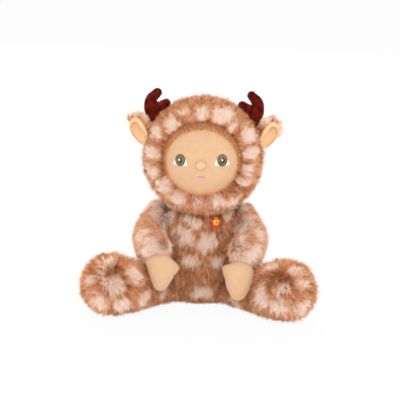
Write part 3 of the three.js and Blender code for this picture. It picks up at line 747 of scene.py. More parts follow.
def make_materials(pile, cloth):
    rust, tan, cream = (tuple(dye) for dye in (pile.rust, pile.tan, pile.cream))
    skin, ear_cloth, velour = (tuple(dye) for dye in (cloth.skin, cloth.ear_cloth, cloth.velour))
    spotted = [
        (0.0, dimmed(rust, 0.55)), (0.14, rust), (0.32, tan), (0.48, mixed(tan, 0.8, cream, 0.25)),
        (0.6, mixed(tan, 0.55, cream, 0.45)), (0.78, cream), (1.0, cream),
    ]
    lining, nap = (list(zip((0.0, 1.0), dyes)) for dyes in (LINING_DYES, NAP_DYES))
    MATERIALS.update(
        # Root and tip tints of each pile: the darker roots are partly dye and partly painted shade, and tip
        # tints above one brighten the tips past their dye, partly paler tips and partly painted highlight.
        pile=pile_material("spotted_pile", spotted, (0.9, 0.71, 0.54), (1.06, 1.08, 1.12)),
        lining=pile_material("lining_pile", lining, (0.9, 0.8, 0.7), (1.1, 1.1, 1.1)),
        nap=pile_material("antler_nap", nap, (0.7, 0.55, 0.55), (1.2, 1.2, 1.2)),
        backing=fibre_material("pile_backing", tan, rust, {"Scale": 900.0, "Detail": 4.0}, 0.95, 0.6),
        velour=fibre_material("antler_velour", velour, (0.06, 0.003, 0.002),
                              {"Scale": 420.0, "Detail": 5.0, "Roughness": 0.75}, 0.9, 0.8,
                              Sheen_Weight=0.12, Sheen_Roughness=0.4, Sheen_Tint=(1, 0.2, 0.08, 1)),
        skin=cloth_material("face_jersey", skin, dimmed(skin, 0.92), 0.9),
        # Painted light: the nose is of the face's jersey, made 9 % lighter as a lit copy of that cloth, for
        # the light on the nose's top.
        nose=cloth_material("nose_jersey_painted_light", dimmed(skin, 1.09), skin, 0.9),
        ear_cloth=cloth_material("ear_jersey", ear_cloth, (0.86, 0.55, 0.3)),
    )
    for name, dyes in THREADS.items():
        MATERIALS[name] = thread_material(f"{name}_thread", *dyes, "Z" if name in LIP_THREADS else "X")


# Head and hood


def face_basis():
    """Out of the face, to its right as seen from the front, and upwards."""
    face = head_direction(0, FACE_TILT)
    sideways = head_direction(90, 0)
    return face, sideways, unit(np.cross(face, sideways))


def around_face(radius, theta, phi):
    """Points at an angle theta from the face's axis and phi round it."""
    face, sideways, up = face_basis()
    radius, theta = (np.broadcast_to(value, phi.shape)[:, None] for value in (radius, theta))
    ring_way = np.outer(np.cos(phi), sideways) + np.outer(np.sin(phi), up)
    return HEAD_CENTRE + radius * (np.cos(theta) * face + np.sin(theta) * ring_way)


def head_polar(points):
    """Angle from the face's axis and angle round it."""
    face, sideways, up = face_basis()
    way = unit(points - HEAD_CENTRE)
    return angle_between(way, face), np.arctan2(way @ up, way @ sideways)


def opening_angle(phi, radius, half_width, half_height, lift):
    """The angle from the face's axis to the edge of its opening, round the face."""
    reach = half_width * half_height / np.hypot(half_height * np.cos(phi), half_width * np.sin(phi))
    return np.arcsin((reach + lift * np.sin(phi)) / radius)


HOOD_SKIN = (53.4, 54.2)  # inner and outer radius
HOOD_OPENING = (37.4, 34.6, 2.4)  # half width, half height and lift
HOOD_FLAT = 56  # lean of the pile in degrees, and what it loses at the face's edge
HOOD_UPRIGHT = 49
HOOD_ROUND = 60  # radius on which the hood's rows of spots are laid out


def hood_form():
    inner, outer = HOOD_SKIN
    phi = round_steps(96)
    edge = opening_angle(phi, outer, *HOOD_OPENING)

    def ring(radius, share):
        return around_face(radius, edge + (math.pi - edge) * share, phi)

    shares = np.linspace(0, 1, 41)[:-1]
    inside = [ring(inner, s) for s in shares[::-1]]
    brim = [ring((inner + outer) / 2, -0.006)]
    outside = [ring(outer, s) for s in shares]
    face = face_basis()[0]
    return ringed_form(HEAD_CENTRE - face * inner, inside + brim + outside, HEAD_CENTRE - face * outer)


def make_hood(pile_length):
    form = hood_form()
    skin = add_form("hood_cloth", form, MATERIALS["backing"], "head", "pile_cloth")
    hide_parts("hood")
    face = face_basis()[0]

    def keep(roots, normals):
        return dots(normals, unit(roots - HEAD_CENTRE)) > 0.5

    def lean(roots):
        theta, phi = head_polar(roots)
        outer = HOOD_SKIN[1]
        beyond = (theta - opening_angle(phi, outer, *HOOD_OPENING)) * outer
        upright = (1 - step(0, 11, beyond)) * np.minimum(1.25 - 1.05 * np.sin(phi), 1.4)
        return HOOD_FLAT - HOOD_UPRIGHT * upright

    def rows(points):
        theta, phi = head_polar(points)
        girth = 2 * math.pi * HOOD_ROUND * np.sin(theta.clip(0.3, 2.8))
        return spot_rows(theta * HOOD_ROUND, phi, girth, 4)

    spotted_pile("hood", form, lambda roots, normals: np.tile(-face, (len(roots), 1)), "head", seed=11,
                 keep=keep, rows=rows, parts=4, lean=lean, unruly=0.18, length=pile_length * 0.8)


# Rings of the lining's band, from its inner edge round: each with its radius, and the half width, half
# height and lift of its opening
LINING_RINGS = [
    (53.7, 38.0, 35.2, 1.8), (53.5, 37.0, 33.5, -0.1), (54.1, 36.7, 33.2, 0.0), (55.3, 37.0, 33.8, 0.6),
    (56.2, 37.5, 34.7, 1.6), (56.4, 38.2, 35.6, 2.6), (55.4, 38.8, 36.2, 3.0),
]
LINING_BASE = 53.6


def make_hood_lining():
    phi = round_steps(96)
    thickness = 0.52 + 0.48 * np.sin(phi)  # full at the top and thin at the chin
    rings = []
    for radius, *opening in LINING_RINGS:
        reach = LINING_BASE + (radius - LINING_BASE) * thickness
        rings.append(around_face(reach, opening_angle(phi, radius, *opening), phi))
    band = band_form(np.array(rings))
    piece = add_form("hood_lining_cloth", band, MATERIALS["backing"], "head", "lining_pile")
    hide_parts("hood_lining")

    face, _, up = face_basis()
    rng = np.random.default_rng(12)
    roots, normals = band.sample(10, rng)
    way = unit(roots - HEAD_CENTRE)
    kept = (dots(normals, unit(way * 0.4 + face)) > -0.1) & (way @ up > -0.25)
    roots, normals, way = roots[kept], normals[kept], way[kept]
    strands("hood_lining_pile", roots, normals, face - way * 1.1, rng.uniform(0, 1, len(roots)), "head",
            "lining_pile", MATERIALS["lining"], length=3.0, lean=52, width=0.24, clump=1.1, clumping=0.35,
            unruly=0.18, seed=33)


def make_head():
    rows = 80
    phi = round_steps(128)
    rings = [around_face(HEAD_RADIUS - 0.05, r / rows * math.pi, phi) for r in range(1, rows)]
    pole = face_basis()[0] * HEAD_RADIUS
    form = ringed_form(HEAD_CENTRE + pole, rings, HEAD_CENTRE - pole)
    head = add_form("head_cloth", form, MATERIALS["skin"], "head", "skin_cloth")
    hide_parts("head", "head_filling")


# Face

NOSE_HALF_WIDTH = 4.75
NOSE_HALF_DEPTH = 4.1
EYE_AZIMUTH = 22.2
EYE_ELEVATION = 4.9
EYE_ASKEW = 0.8  # degrees that one eye is higher than the middle, and the other lower
MOUTH_ELEVATION = -12
EYE_WHITE = [
    (-7.6, -3.6), (-4, -4.6), (0, -4.9), (4, -4.6), (7.6, -3.6), (5.8, 0.6), (3.6, 4.0), (0, 5.2),
    (-3.6, 4.0), (-5.8, 0.6),
]
UPPER_LIP = [
    (-4.1, 0.6), (-2.3, 1.5), (0, 1.35), (2.3, 1.5), (4.1, 0.6), (2.4, -0.1), (0, -0.3), (-2.4, -0.1),
]
LOWER_LIP = [(-3.8, 0.3), (0, 0.0), (3.8, 0.3), (2.8, -1.2), (0, -1.8), (-2.8, -1.2)]


def face_patch(name, outline, direction, heights, thread, slot, shift=(0, 0)):
    """A stitched patch that follows the head, from the low height at its edge to the high one inside."""
    toward = head_direction(*direction)
    right, up = patch_axes(toward)

    def place(flat, height):
        flat = flat + shift
        spot = toward * HEAD_RADIUS + np.outer(flat[:, 0], right) + np.outer(flat[:, 1], up)
        return HEAD_CENTRE + unit(spot) * (HEAD_RADIUS + height)

    return add_form(name, stitched_pillow(outline, place, *heights, 0.12), MATERIALS[thread], "head", slot)


def make_nose():
    centre = head_direction(0, 1.0)
    deselect()
    bpy.ops.mesh.primitive_uv_sphere_add(segments=48, ring_count=28, radius=1, location=(0, 0, 0))
    nose = bpy.context.active_object
    nose.name = nose.data.name = "nose_ball"
    turn = Vector((0, 0, 1)).rotation_difference(Vector(centre)).to_matrix().to_4x4()
    place = Matrix.Translation(Vector((HEAD_CENTRE + centre * (HEAD_RADIUS + 1.4)) * MM))
    size = Matrix.Diagonal((NOSE_HALF_WIDTH * MM, NOSE_HALF_WIDTH * MM, NOSE_HALF_DEPTH * MM, 1))
    nose.data.transform(place @ turn @ size)
    finish_piece(nose, MATERIALS["nose"], "head", "skin_cloth")
    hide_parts("nose")


def make_eyes():
    outline = smooth_curve(EYE_WHITE, 60, closed=True)
    for side, sign in SIDES.items():
        eye = (sign * EYE_AZIMUTH, EYE_ELEVATION + sign * EYE_ASKEW)
        iris_shift = (0, 0.6)
        white = face_patch(f"eye_white_{side}_stitch", outline, eye, (0.16, 0.5), "white", "white_thread")
        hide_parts(f"eye_white_{side}")
        face_patch(f"iris_{side}_rim", oval(5.2, 5.75), eye, (0.45, 0.9), "dark", "iris_thread", iris_shift)
        iris = face_patch(f"iris_{side}_stitch", oval(4.65, 5.2), eye, (0.6, 1.1), "olive", "iris_thread",
                          iris_shift)
        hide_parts(f"iris_{side}")
        face_patch(f"pupil_{side}", oval(2.5, 2.6, 28), eye, (1.0, 1.3), "black", "iris_thread", (0.2, 0.5))
        face_patch(f"glint_{side}", oval(1.0, 1.1, 24), eye, (1.2, 1.5), "white", "white_thread", (-0.5, 0.9))


def make_mouth():
    place = (0, MOUTH_ELEVATION)
    lower = face_patch("mouth_lower_stitch", smooth_curve(LOWER_LIP, 48, closed=True), place, (0.12, 0.45),
                       "rose", "mouth_thread")
    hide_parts("mouth")
    face_patch("mouth_upper_stitch", smooth_curve(UPPER_LIP, 48, closed=True), place, (0.15, 0.6), "pink",
               "mouth_thread")


# Ears

# A leaf with its point at the root, seen from the front: outwards and upwards from its middle
EAR_LEAF = [
    (-6.8, -13), (-10.2, -4.6), (-7.2, 3.8), (-3, 9.6), (2.2, 12.4), (7.6, 9.6), (9.1, 3.2), (6.8, -4),
    (0, -10.8),
]
EAR_HEART = np.array([-1.0, 0.0])
EAR_PIT = np.array([-2.4, 3.6])
EAR_PLACE = np.array([64.3, -14, 171.2])
EAR_DEPTH = 14.0
EAR_WALL = 1.1
EAR_LINING_GAP = 0.3
EAR_POCKET = 8.5
# The lining's rolled lip: its size all round, what is added where it is widest, and that place's bearing
LIP_LEAST = 0.7
LIP_EXTRA = 2.3
LIP_WIDEST = 1.9
EAR_PILE_LENGTH = 8


def make_ears():
    leaf = smooth_curve(EAR_LEAF, 72, closed=True)
    bearing = np.arctan2(leaf[:, 1], leaf[:, 0])
    lip = LIP_LEAST + LIP_EXTRA * np.clip(np.cos(bearing - LIP_WIDEST), 0, 1) ** 0.8
    for side, sign in SIDES.items():
        outwards = unit([sign * 0.93, 0.36, 0.0])
        front = unit([sign * 0.36, -0.93, 0.02])
        centre = EAR_PLACE * [sign, 1, 1]

        def place(flat, height):
            leaf_place = np.outer(flat[:, 0], outwards) + np.outer(flat[:, 1], UPWARDS)
            return centre + leaf_place + np.outer(np.broadcast_to(height, len(flat)), front)

        def shell_rings(size, depth, first, last, count):
            return [
                place(EAR_HEART + (leaf - EAR_HEART) * size * math.sin(a), -depth * math.cos(a))
                for a in np.radians(np.linspace(first, last, count))
            ]

        def at(flat, height):
            return place(flat[None], height)[0]

        thin = EAR_DEPTH - EAR_WALL
        rings = shell_rings(0.99, EAR_DEPTH, 7, 92, 16) + shell_rings(0.95, thin, 90, 7, 16)
        shell = ringed_form(at(EAR_HEART, -EAR_DEPTH), rings, at(EAR_HEART, -thin))
        ear = add_form(f"ear_{side}_cloth", shell, MATERIALS["backing"], "head", "pile_cloth")
        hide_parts(f"ear_{side}")

        def keep(roots, normals):
            behind = dots(roots - centre + front * 3, normals) > 0
            top = (roots - centre) @ unit(UPWARDS + outwards * (0.1 + 0.5 * sign))
            return behind & (normals @ front < np.where(top > 2, 0.3, -0.35))

        way = unit(outwards * (0.1 + 0.18 * sign) + UPWARDS * 0.9 - front * 0.15)
        spotted_pile(f"ear_{side}", shell, lambda roots, normals: unit(roots - centre) * 0.6 + way, "head",
                     seed=44 + sign, density=1.7, keep=keep, lean=44, ground=0.38, toward=1.5,
                     length=EAR_PILE_LENGTH, clump=1.6)

        inward = unit(EAR_HEART - leaf)

        def inside_leaf(lips):
            return leaf + inward * (lip * lips)[:, None]

        rim = [
            place(inside_leaf(0.6 - math.cos(a)), 0.3 + lip * math.sin(a) * 1.15)
            for a in np.radians(np.linspace(15, 190, 9))
        ]
        fold = inside_leaf(0.75)
        bowl = [place(inside_leaf(1.58), -lip * 0.55), place(fold, -lip * 1.2)]
        for s in np.linspace(0.93, 0.06, 13):
            pocket = EAR_POCKET * (1 - s) ** 0.85
            bowl.append(place(EAR_PIT + (fold - EAR_PIT) * s, -lip * 1.2 * s - pocket))
        under = thin - EAR_LINING_GAP
        rings = shell_rings(0.93, under, 7, 86, 10) + rim + bowl
        lining = ringed_form(at(EAR_HEART, -under), rings, at(EAR_PIT, -EAR_POCKET))
        piece = add_form(f"ear_lining_{side}_cloth", lining, MATERIALS["ear_cloth"], "head", "ear_cloth")
        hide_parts(f"ear_lining_{side}")


# Antlers

# Each branch: its spine outwards and upwards from the head's middle, and its half widths along it
ANTLER_BRANCHES = [
    ([(45.5, 31), (52.4, 43), (53.0, 54), (46.8, 61.8)], [5.9, 6.1, 5.2, 3.8]),
    ([(51, 46.2), (44, 48.0), (37.8, 51.4)], [6.0, 4.5, 4.0]),
]
ANTLER_HALF_DEPTH = 3.5
ANTLERS_ASIDE = 0.7  # how far both stand to one side, as the head looks that way
ANTLER_INSET = 0.9


def make_antlers():
    rng = np.random.default_rng(81)
    for side, sign in SIDES.items():
        points, faces = [], []
        for route, widths in ANTLER_BRANCHES:
            spine = [HEAD_CENTRE + [sign * x - ANTLERS_ASIDE - ANTLER_INSET * sign, -1, z] for x, z in route]
            depths = [ANTLER_HALF_DEPTH] * len(widths)
            form = swept_form(spine, widths, depths, np.array([0, 1.0, 0]), sides=28, steps=20, domes=5)
            faces.append(form.triangles() + sum(len(p) for p in points))
            points.append(form.points)
        mesh = bpy.data.meshes.new(f"antler_{side}_velour")
        mesh.from_pydata((np.vstack(points) * MM).tolist(), [], np.vstack(faces).tolist())
        antler = bpy.data.objects.new(mesh.name, mesh)
        bpy.context.scene.collection.objects.link(antler)
        join_branches(antler)
        finish_piece(antler, MATERIALS["velour"], "head", "antler_velour")
        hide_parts(f"antler_{side}")

        roots, normals = mesh_form(antler.data).sample(9, rng)
        flow = np.tile(UPWARDS, (len(roots), 1)) + rng.normal(0, 0.5, roots.shape)
        tone = 0.45 + 0.38 * ripple(roots, 6, 82 + sign) + rng.normal(0, 0.12, len(roots))
        strands(f"antler_{side}_nap", roots, normals, flow, tone, "head", "antler_velour", MATERIALS["nap"],
                length=1.0, lean=30, width=0.22, clump=1.1, clumping=0.25, unruly=0.25, seed=84 + sign)


def join_branches(antler):
    """Melts crossing forms into one soft skin."""
    deselect()
    antler.select_set(True)
    bpy.context.view_layer.objects.active = antler
    antler.data.remesh_voxel_size = 0.55 * MM
    bpy.ops.object.voxel_remesh()
    smooth = antler.modifiers.new("smooth", "SMOOTH")
    smooth.iterations = 6
    bpy.ops.object.modifier_apply(modifier="smooth")


# Torso

# Radius and height, from the seat up to the hollow for the hood
TORSO_PROFILE = [
    (0, 1.4), (14, 1.4), (24, 1.8), (33.5, 8), (38.2, 27), (35.4, 51), (31.6, 76), (28.5, 90), (20, 92),
    (9, 89.5), (0, 88),
]
TORSO_GIRTH = 240.0
HOOD_HOLLOW = 56.5  # radius of the hollow for the hood, which has no pile


def make_torso(pile_length):
    profile = smooth_curve(TORSO_PROFILE, 50)
    profile[:, 0] = profile[:, 0].clip(0)
    form = turned_form(profile, 96, np.zeros(3), UPWARDS, np.array([1.0, 0, 0]), TORSO_SQUASH)
    skin = add_form("torso_cloth", form, MATERIALS["backing"], "torso", "pile_cloth")
    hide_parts("torso", "torso_filling", "pellet_bag")

    def keep(roots, normals):
        return (normals[:, 2] > -0.93) & (np.linalg.norm(roots - HEAD_CENTRE, axis=1) > HOOD_HOLLOW)

    def flow_at(roots, normals):
        return normals * [0.2, 0.2, 0] - UPWARDS

    def rows(points):
        girth = np.full(len(points), TORSO_GIRTH)
        return spot_rows(100 - points[:, 2], np.arctan2(points[:, 0], -points[:, 1]), girth, 2)

    # The torso's ground tone is darker than the hood's: partly a rustier dye, partly painted shade under the
    # head and between the sleeves.
    spotted_pile("torso", form, flow_at, "torso", seed=51, keep=keep, rows=rows, parts=2, lean=54,
                 ground=0.19, toward=1.5, length=pile_length * 0.88, droop=0.1)


# Arms

# Spine of the sleeve and points of the hand, from the shoulder: outwards, forwards and down
ARM_SPINE = [(-3.5, 0, -3), (4, 21, 13), (-1, 47, 22.8)]
ARM_RADII = [14.6, 17.4, 18.2]
ARM_PILE_ROOM = 6.6  # how far the cloth lies under the pile's surface
SLEEVE_GIRTH = 92.0
WRIST = (-6, 50, 20)
FINGERTIPS = (-8, 68, 51)
PALM = (-9, 63, 35)
HAND_DROP = {"left": 0.0, "right": 4.0}
# Half the thickness of the hand's stuffing and of its seam
HAND_STUFFING = 5.4
HAND_SEAM = 0.8


def arm_point(sign, offset, drop=0.0):
    outwards, forwards, down = offset
    return SHOULDER * [sign, 1, 1] + [sign * outwards, -forwards, -down - drop]


def make_arms(pile_length):
    for side, sign in SIDES.items():
        spine = np.array([arm_point(sign, offset) for offset in ARM_SPINE])
        form = swept_form(spine, ARM_RADII, ARM_RADII, np.array([1.0, 0, 0]), grow=-ARM_PILE_ROOM, domes=7)
        body = f"arm_{side}"
        skin = add_form(f"sleeve_{side}_cloth", form, MATERIALS["backing"], body, "pile_cloth")
        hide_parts(f"sleeve_{side}", f"sleeve_filling_{side}")
        curve = smooth_curve(spine, 60)
        tangents = unit(np.gradient(curve, axis=0))
        lengthways = np.concatenate([[0], np.cumsum(np.linalg.norm(np.diff(curve, axis=0), axis=1))])

        def flow_at(roots, normals):
            return tangents[nearest_of(roots, curve)] * 0.08 + [sign * 0.85, 0, -0.5]

        def rows(points):
            nearest = nearest_of(points, curve)
            away = points - curve[nearest]
            angle = np.arctan2(dots(away, np.cross(tangents[nearest], [1.0, 0, 0])), away[:, 0])
            return spot_rows(lengthways[nearest] + 21, angle, np.full(len(points), SLEEVE_GIRTH), 6 + sign)

        hand = HandPlace(side, sign)
        # The sleeves' ground tone is much lighter than the torso's, though it is the same pile: painted light
        # that offsets the shade on the sleeves.
        spotted_pile(f"sleeve_{side}", form, flow_at, body, seed=64 + sign, rows=rows, lean=60, ground=0.47,
                     density=1.5, clumping=0.25, unruly=0.1, toward=2.0, droop=0.0, hand=hand,
                     length=pile_length * 0.8)
        make_hand(side, hand)


# Mitten outlines round the palm's middle: towards the thumb and towards the fingertips
HAND_OUTLINES = {
    "left": [
        (-14.7, -4.1), (-12, -8.6), (-6.3, -11.2), (0, -11.8), (6.8, -10.8), (10.6, -6.4), (13.8, -3.2),
        (16.6, 0.4), (16.8, 3.8), (14.8, 7), (12.2, 9.6), (10.5, 12.8), (7.4, 17.6), (3.8, 21.6),
        (-0.3, 23.6), (-4.2, 23), (-7.2, 20.4), (-10.4, 12.6), (-13.2, 3),
    ],
    "right": [
        (-15.8, -1.4), (-13.4, -7), (-8.6, -10), (-2.6, -11.4), (3.4, -10.6), (8.6, -7.6), (12.6, -6),
        (14.4, -2.6), (13.6, 1.8), (11.6, 6.4), (9.4, 14.4), (6.4, 19.8), (2.8, 24.2), (-1.4, 26.2),
        (-5.6, 25.6), (-9.8, 21.8), (-13, 14.6), (-15.2, 6),
    ],
}


class HandPlace:
    """Where a hand lies, so that the cuff's pile can keep behind it."""

    def __init__(self, side, sign):
        drop = HAND_DROP[side]
        self.lengthways = unit(arm_point(sign, FINGERTIPS, drop) - arm_point(sign, WRIST, drop / 2))
        inwards = np.array([-sign, 0.0, 0.0])
        self.inwards = unit(inwards - self.lengthways * (inwards @ self.lengthways))
        front = unit(np.cross(self.inwards, self.lengthways))
        self.front = -front if front[1] > 0 else front
        self.palm = arm_point(sign, PALM, drop) + self.front * 2.5
        self.outline = smooth_curve(HAND_OUTLINES[side], 96, closed=True)
        bearings = np.arctan2(self.outline[:, 1], self.outline[:, 0])
        order = np.argsort(bearings)
        self.bearings = bearings[order]
        self.reaches = np.linalg.norm(self.outline, axis=1)[order]

    def beyond(self, points):
        """How far outside the hand's outline the points lie, seen from its front."""
        away = points - self.palm
        flat = np.stack([away @ self.inwards, away @ self.lengthways], 1)
        bearing = np.arctan2(flat[:, 1], flat[:, 0])
        reach = np.interp(bearing, self.bearings, self.reaches, period=2 * math.pi)
        return np.linalg.norm(flat, axis=1) - reach

    def depth(self, points):
        """How far the points stand in front of the hand's back, where the hand covers them."""
        return np.where(self.beyond(points) < 0.2, (points - self.palm) @ self.front + 2.5, -1)

    def tuck(self, points):
        """The points, pushed back behind the hand."""
        return points - self.front * np.maximum(self.depth(points), 0)[:, None]

    def place(self, flat, height):
        """Points on the palm, which bends a little back towards its tips."""
        bend = 0.008 * flat[:, 1:2] ** 2
        across = np.outer(flat[:, 0], self.inwards) + np.outer(flat[:, 1], self.lengthways)
        return self.palm + across + self.front * (height - bend)


def make_hand(side, hand_place):
    seam = 0.92  # where the stuffing ends and the flat seam begins, as a share of the outline

    def puff(s):
        stuffing = HAND_STUFFING * max(0.0, 1 - (s / seam) ** 2.8) ** 0.5
        return stuffing + HAND_SEAM * (1 - max(0.0, (s - seam) / (1 - seam)) ** 2) ** 0.5

    form = pillow(hand_place.outline, hand_place.place, puff, lambda s: -puff(s), rows=26)
    hand = add_form(f"hand_{side}_cloth", form, MATERIALS["skin"], f"arm_{side}", "skin_cloth")
    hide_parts(f"hand_{side}")


# Legs

# Which way each sole faces: the pile of the foot spreads from there
SOLES = {"left": (0.08, -0.85, 0.52), "right": (-0.42, -0.75, 0.52)}
SOLE_REACH = 28.5  # from the foot's middle to its sole
LEG_PILE_ROOM = 6.0
SHANK_GIRTH = 110.0
SHANK_STARTS = (12, 34)  # behind the foot's middle: the pile turns from the foot's to the shank's
FOOT_GIRTH = 190.0
FOOT_ROUND = 30  # radius on which the foot's rows of spots are laid out
FOOT_PITCH = 20
SOLE_EDGE = (0.2, 0.85)  # angles from the sole's middle, in radians, over which the pile turns outwards
SOLE_SWIRL_REACH = 31
LEG_LEAN = 46  # of the pile, in degrees
SOLE_LEAN_LOSS = 112  # four times what the pile stands up more, halfway over the sole's edge


def leg_direction(sign):
    tilt = math.asin((FOOT_RADIUS - HIP_RADIUS) / LEG_LENGTH)
    heading = np.array([sign * math.sin(LEG_SPLAY), -math.cos(LEG_SPLAY), 0])
    return heading * math.cos(tilt) + np.array([0, 0, math.sin(tilt)])


def leg_profile():
    """Radius and place along the leg, from the hip to the sole."""
    small, large, tip = (size - LEG_PILE_ROOM for size in (HIP_RADIUS, FOOT_RADIUS, SOLE_REACH))
    profile = [(0, -small)]
    profile += [(small * math.sin(a), -small * math.cos(a)) for a in np.radians([20, 40, 60, 75])]
    for share in np.linspace(0, 1, 16):
        profile.append((small + (large - small) * step(-0.1, 1.1, share), LEG_LENGTH * share))
    for a in np.radians([12, 24, 36, 48, 60, 72, 82]):
        profile.append((large * math.cos(a) ** 0.85, LEG_LENGTH + tip * math.sin(a)))
    return [*profile, (0, LEG_LENGTH + tip)]


def make_legs(pile_length):
    for side, sign in SIDES.items():
        way = leg_direction(sign)
        hip = HIP * [sign, 1, 1]
        across = unit(np.cross(way, UPWARDS))
        form = turned_form(leg_profile(), 72, hip, way, across)
        form.points[:, 2] = np.maximum(form.points[:, 2], 2.2)
        body = f"leg_{side}"
        skin = add_form(f"leg_{side}_cloth", form, MATERIALS["backing"], body, "pile_cloth")
        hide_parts(f"leg_{side}", f"leg_filling_{side}")

        foot = hip + way * LEG_LENGTH
        sole = unit(SOLES[side])
        side_way = unit(np.cross(sole, UPWARDS))
        up_way = np.cross(side_way, sole)

        def shank(points):
            return step(*SHANK_STARTS, (foot - points) @ way)

        def sole_middle(ways):
            return 1 - step(*SOLE_EDGE, angle_between(ways, sole))

        def keep(roots, normals):
            return ((roots - hip) @ way > -4) & (normals[:, 2] > -0.995)

        def flow_at(roots, normals):
            share = shank(roots)[:, None]
            middle = sole_middle(normals)[:, None]
            spread = -sole * (1 - middle) - UPWARDS * 0.8 * middle
            return spread * (1 - share) + (way * 0.5 - UPWARDS * 0.8) * share

        def lean(roots):
            middle = sole_middle(unit(roots - foot))
            return LEG_LEAN - SOLE_LEAN_LOSS * middle * (1 - middle) * (1 - shank(roots))

        def rows(points):
            from_foot = unit(points - foot)
            theta = angle_between(from_foot, sole)
            bearing = np.arctan2(from_foot @ up_way, from_foot @ side_way)
            foot_girth = FOOT_GIRTH * np.sin(theta.clip(0.25, 2.9))
            on_foot = spot_rows(theta * FOOT_ROUND + 9, bearing, foot_girth, 8 + sign, FOOT_PITCH)
            round_leg = np.arctan2((points - hip) @ np.cross(across, way), (points - hip) @ across)
            girth = np.full(len(points), SHANK_GIRTH)
            on_shank = spot_rows((points - hip) @ way, round_leg, girth, 12 + sign)
            return on_foot * (1 - shank(points)) + on_shank * shank(points)

        spotted_pile(f"leg_{side}", form, flow_at, body, seed=74 + sign, keep=keep, rows=rows, parts=2,
                     lean=lean, ground=0.24, toward=0.9, swirl=foot + sole * SOLE_SWIRL_REACH,
                     length=pile_length * 0.86)


# Chest motif

MOTIF_RADIUS = 37.0  # of the torso, where the motif is
MOTIF_SIDEWAYS = 13.5
MOTIF_HEIGHT = 86.3
PETALS = 5
PETAL_REACH = 3.3
# Each part's outline, low and high, and its thread
MOTIF_RING = ("motif_ring", oval(2.9, 2.9), (0.6, 1.5), "yellow")
MOTIF_MIDDLE = ("motif_middle", oval(1.5, 1.5), (1.2, 1.9), "green")


def make_motif():
    """A small five-petal flower sewn on the chest."""
    swing = math.asin(MOTIF_SIDEWAYS / MOTIF_RADIUS)
    out = unit([math.sin(swing), -math.cos(swing), 0.06])
    right, up = patch_axes(out)
    skin = np.array([MOTIF_SIDEWAYS, -MOTIF_RADIUS * TORSO_SQUASH * math.cos(swing), MOTIF_HEIGHT])
    centre = skin + out * 3.0

    parts = []
    for i in range(PETALS):
        angle = i / PETALS * 2 * math.pi
        outline = oval(2.3, 2.3, 28) + [PETAL_REACH * math.sin(angle), PETAL_REACH * math.cos(angle)]
        parts.append((f"motif_petal_{i + 1}", outline, (0.0, 1.1), "red"))
    for name, outline, heights, thread in [*parts, MOTIF_RING, MOTIF_MIDDLE]:
        middle = outline.mean(0)

        def place(flat, height):
            flat = flat + middle
            return centre + np.outer(flat[:, 0], right) + np.outer(flat[:, 1], up) + out * height

        form = stitched_pillow(outline - middle, place, *heights, 0.3, rows=8)
        piece = add_form(name, form, MATERIALS[thread], "torso", "motif_thread")
        if name == "motif_middle":
            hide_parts("chest_motif")


# Stage

# Each lamp's place in metres, size and power
LAMPS = {
    "key": ((0.4, -1.6, 1.2), 1.1, 7),
    "left_fill": ((-1.5, -0.9, 0.45), 1.2, 6.5),
    "right_fill": ((1.5, -0.9, 0.45), 1.2, 5.5),
    "front": ((0.0, -2.2, 0.5), 1.2, 13.5),
    "back": ((-0.3, 1.7, 1.0), 1.2, 22),
}
WHITE = (1, 1, 1, 1)
CAMERA_TARGET = Vector((-1.6, 22.0, 95.4)) * MM
CAMERA_DISTANCE = 1.4
FOCAL_PIXELS = 1378.6
PICTURE_PIXELS = 400
SENSOR_WIDTH = 36


def seen_rays(tree):
    """One for rays that see the backdrop: from the camera, off gloss and through clear things."""
    path = node(tree, "ShaderNodeLightPath").outputs
    seen = calculate(tree, "MAXIMUM", path["Is Camera Ray"], path["Is Glossy Ray"])
    return calculate(tree, "MAXIMUM", seen, path["Is Transmission Ray"])


def mix_shaders(tree, share, first, second):
    return node(tree, "ShaderNodeMixShader", {"Fac": share, 1: first, 2: second}).outputs["Shader"]


def make_floor():
    deselect()
    bpy.ops.mesh.primitive_plane_add(size=12, location=(0, 0, 0))
    floor = bpy.context.active_object
    floor.name = "floor"
    material, tree = new_material("pale_floor")
    share = calculate(tree, "MULTIPLY", seen_rays(tree), 0.94)
    plain = node(tree, "ShaderNodeBsdfDiffuse", {"Color": (0.93, 0.93, 0.93, 1)}).outputs["BSDF"]
    bright = node(tree, "ShaderNodeEmission", {"Color": WHITE, "Strength": 1.0}).outputs["Emission"]
    node(tree, "ShaderNodeOutputMaterial", {"Surface": mix_shaders(tree, share, plain, bright)})
    floor.data.materials.append(material)


def make_world():
    """Soft light all round, and a backdrop that is seen as white."""
    world = bpy.data.worlds.new("soft_room")
    bpy.context.scene.world = world
    world.use_nodes = True
    tree = world.node_tree
    tree.nodes.clear()
    soft, white = (
        node(tree, "ShaderNodeBackground", {"Color": WHITE, "Strength": strength}).outputs["Background"]
        for strength in (0.65, 1.0)
    )
    node(tree, "ShaderNodeOutputWorld", {"Surface": mix_shaders(tree, seen_rays(tree), soft, white)})


def make_lamps():
    aim = Vector((0, 0, 0.1))
    for name, (place, size, power) in LAMPS.items():
        light = bpy.data.lights.new(name, "AREA")
        light.energy = power
        light.size = size
        lamp = bpy.data.objects.new(name, light)
        bpy.context.scene.collection.objects.link(lamp)
        lamp.location = place
        lamp.rotation_euler = (aim - Vector(place)).to_track_quat("-Z", "Y").to_euler()


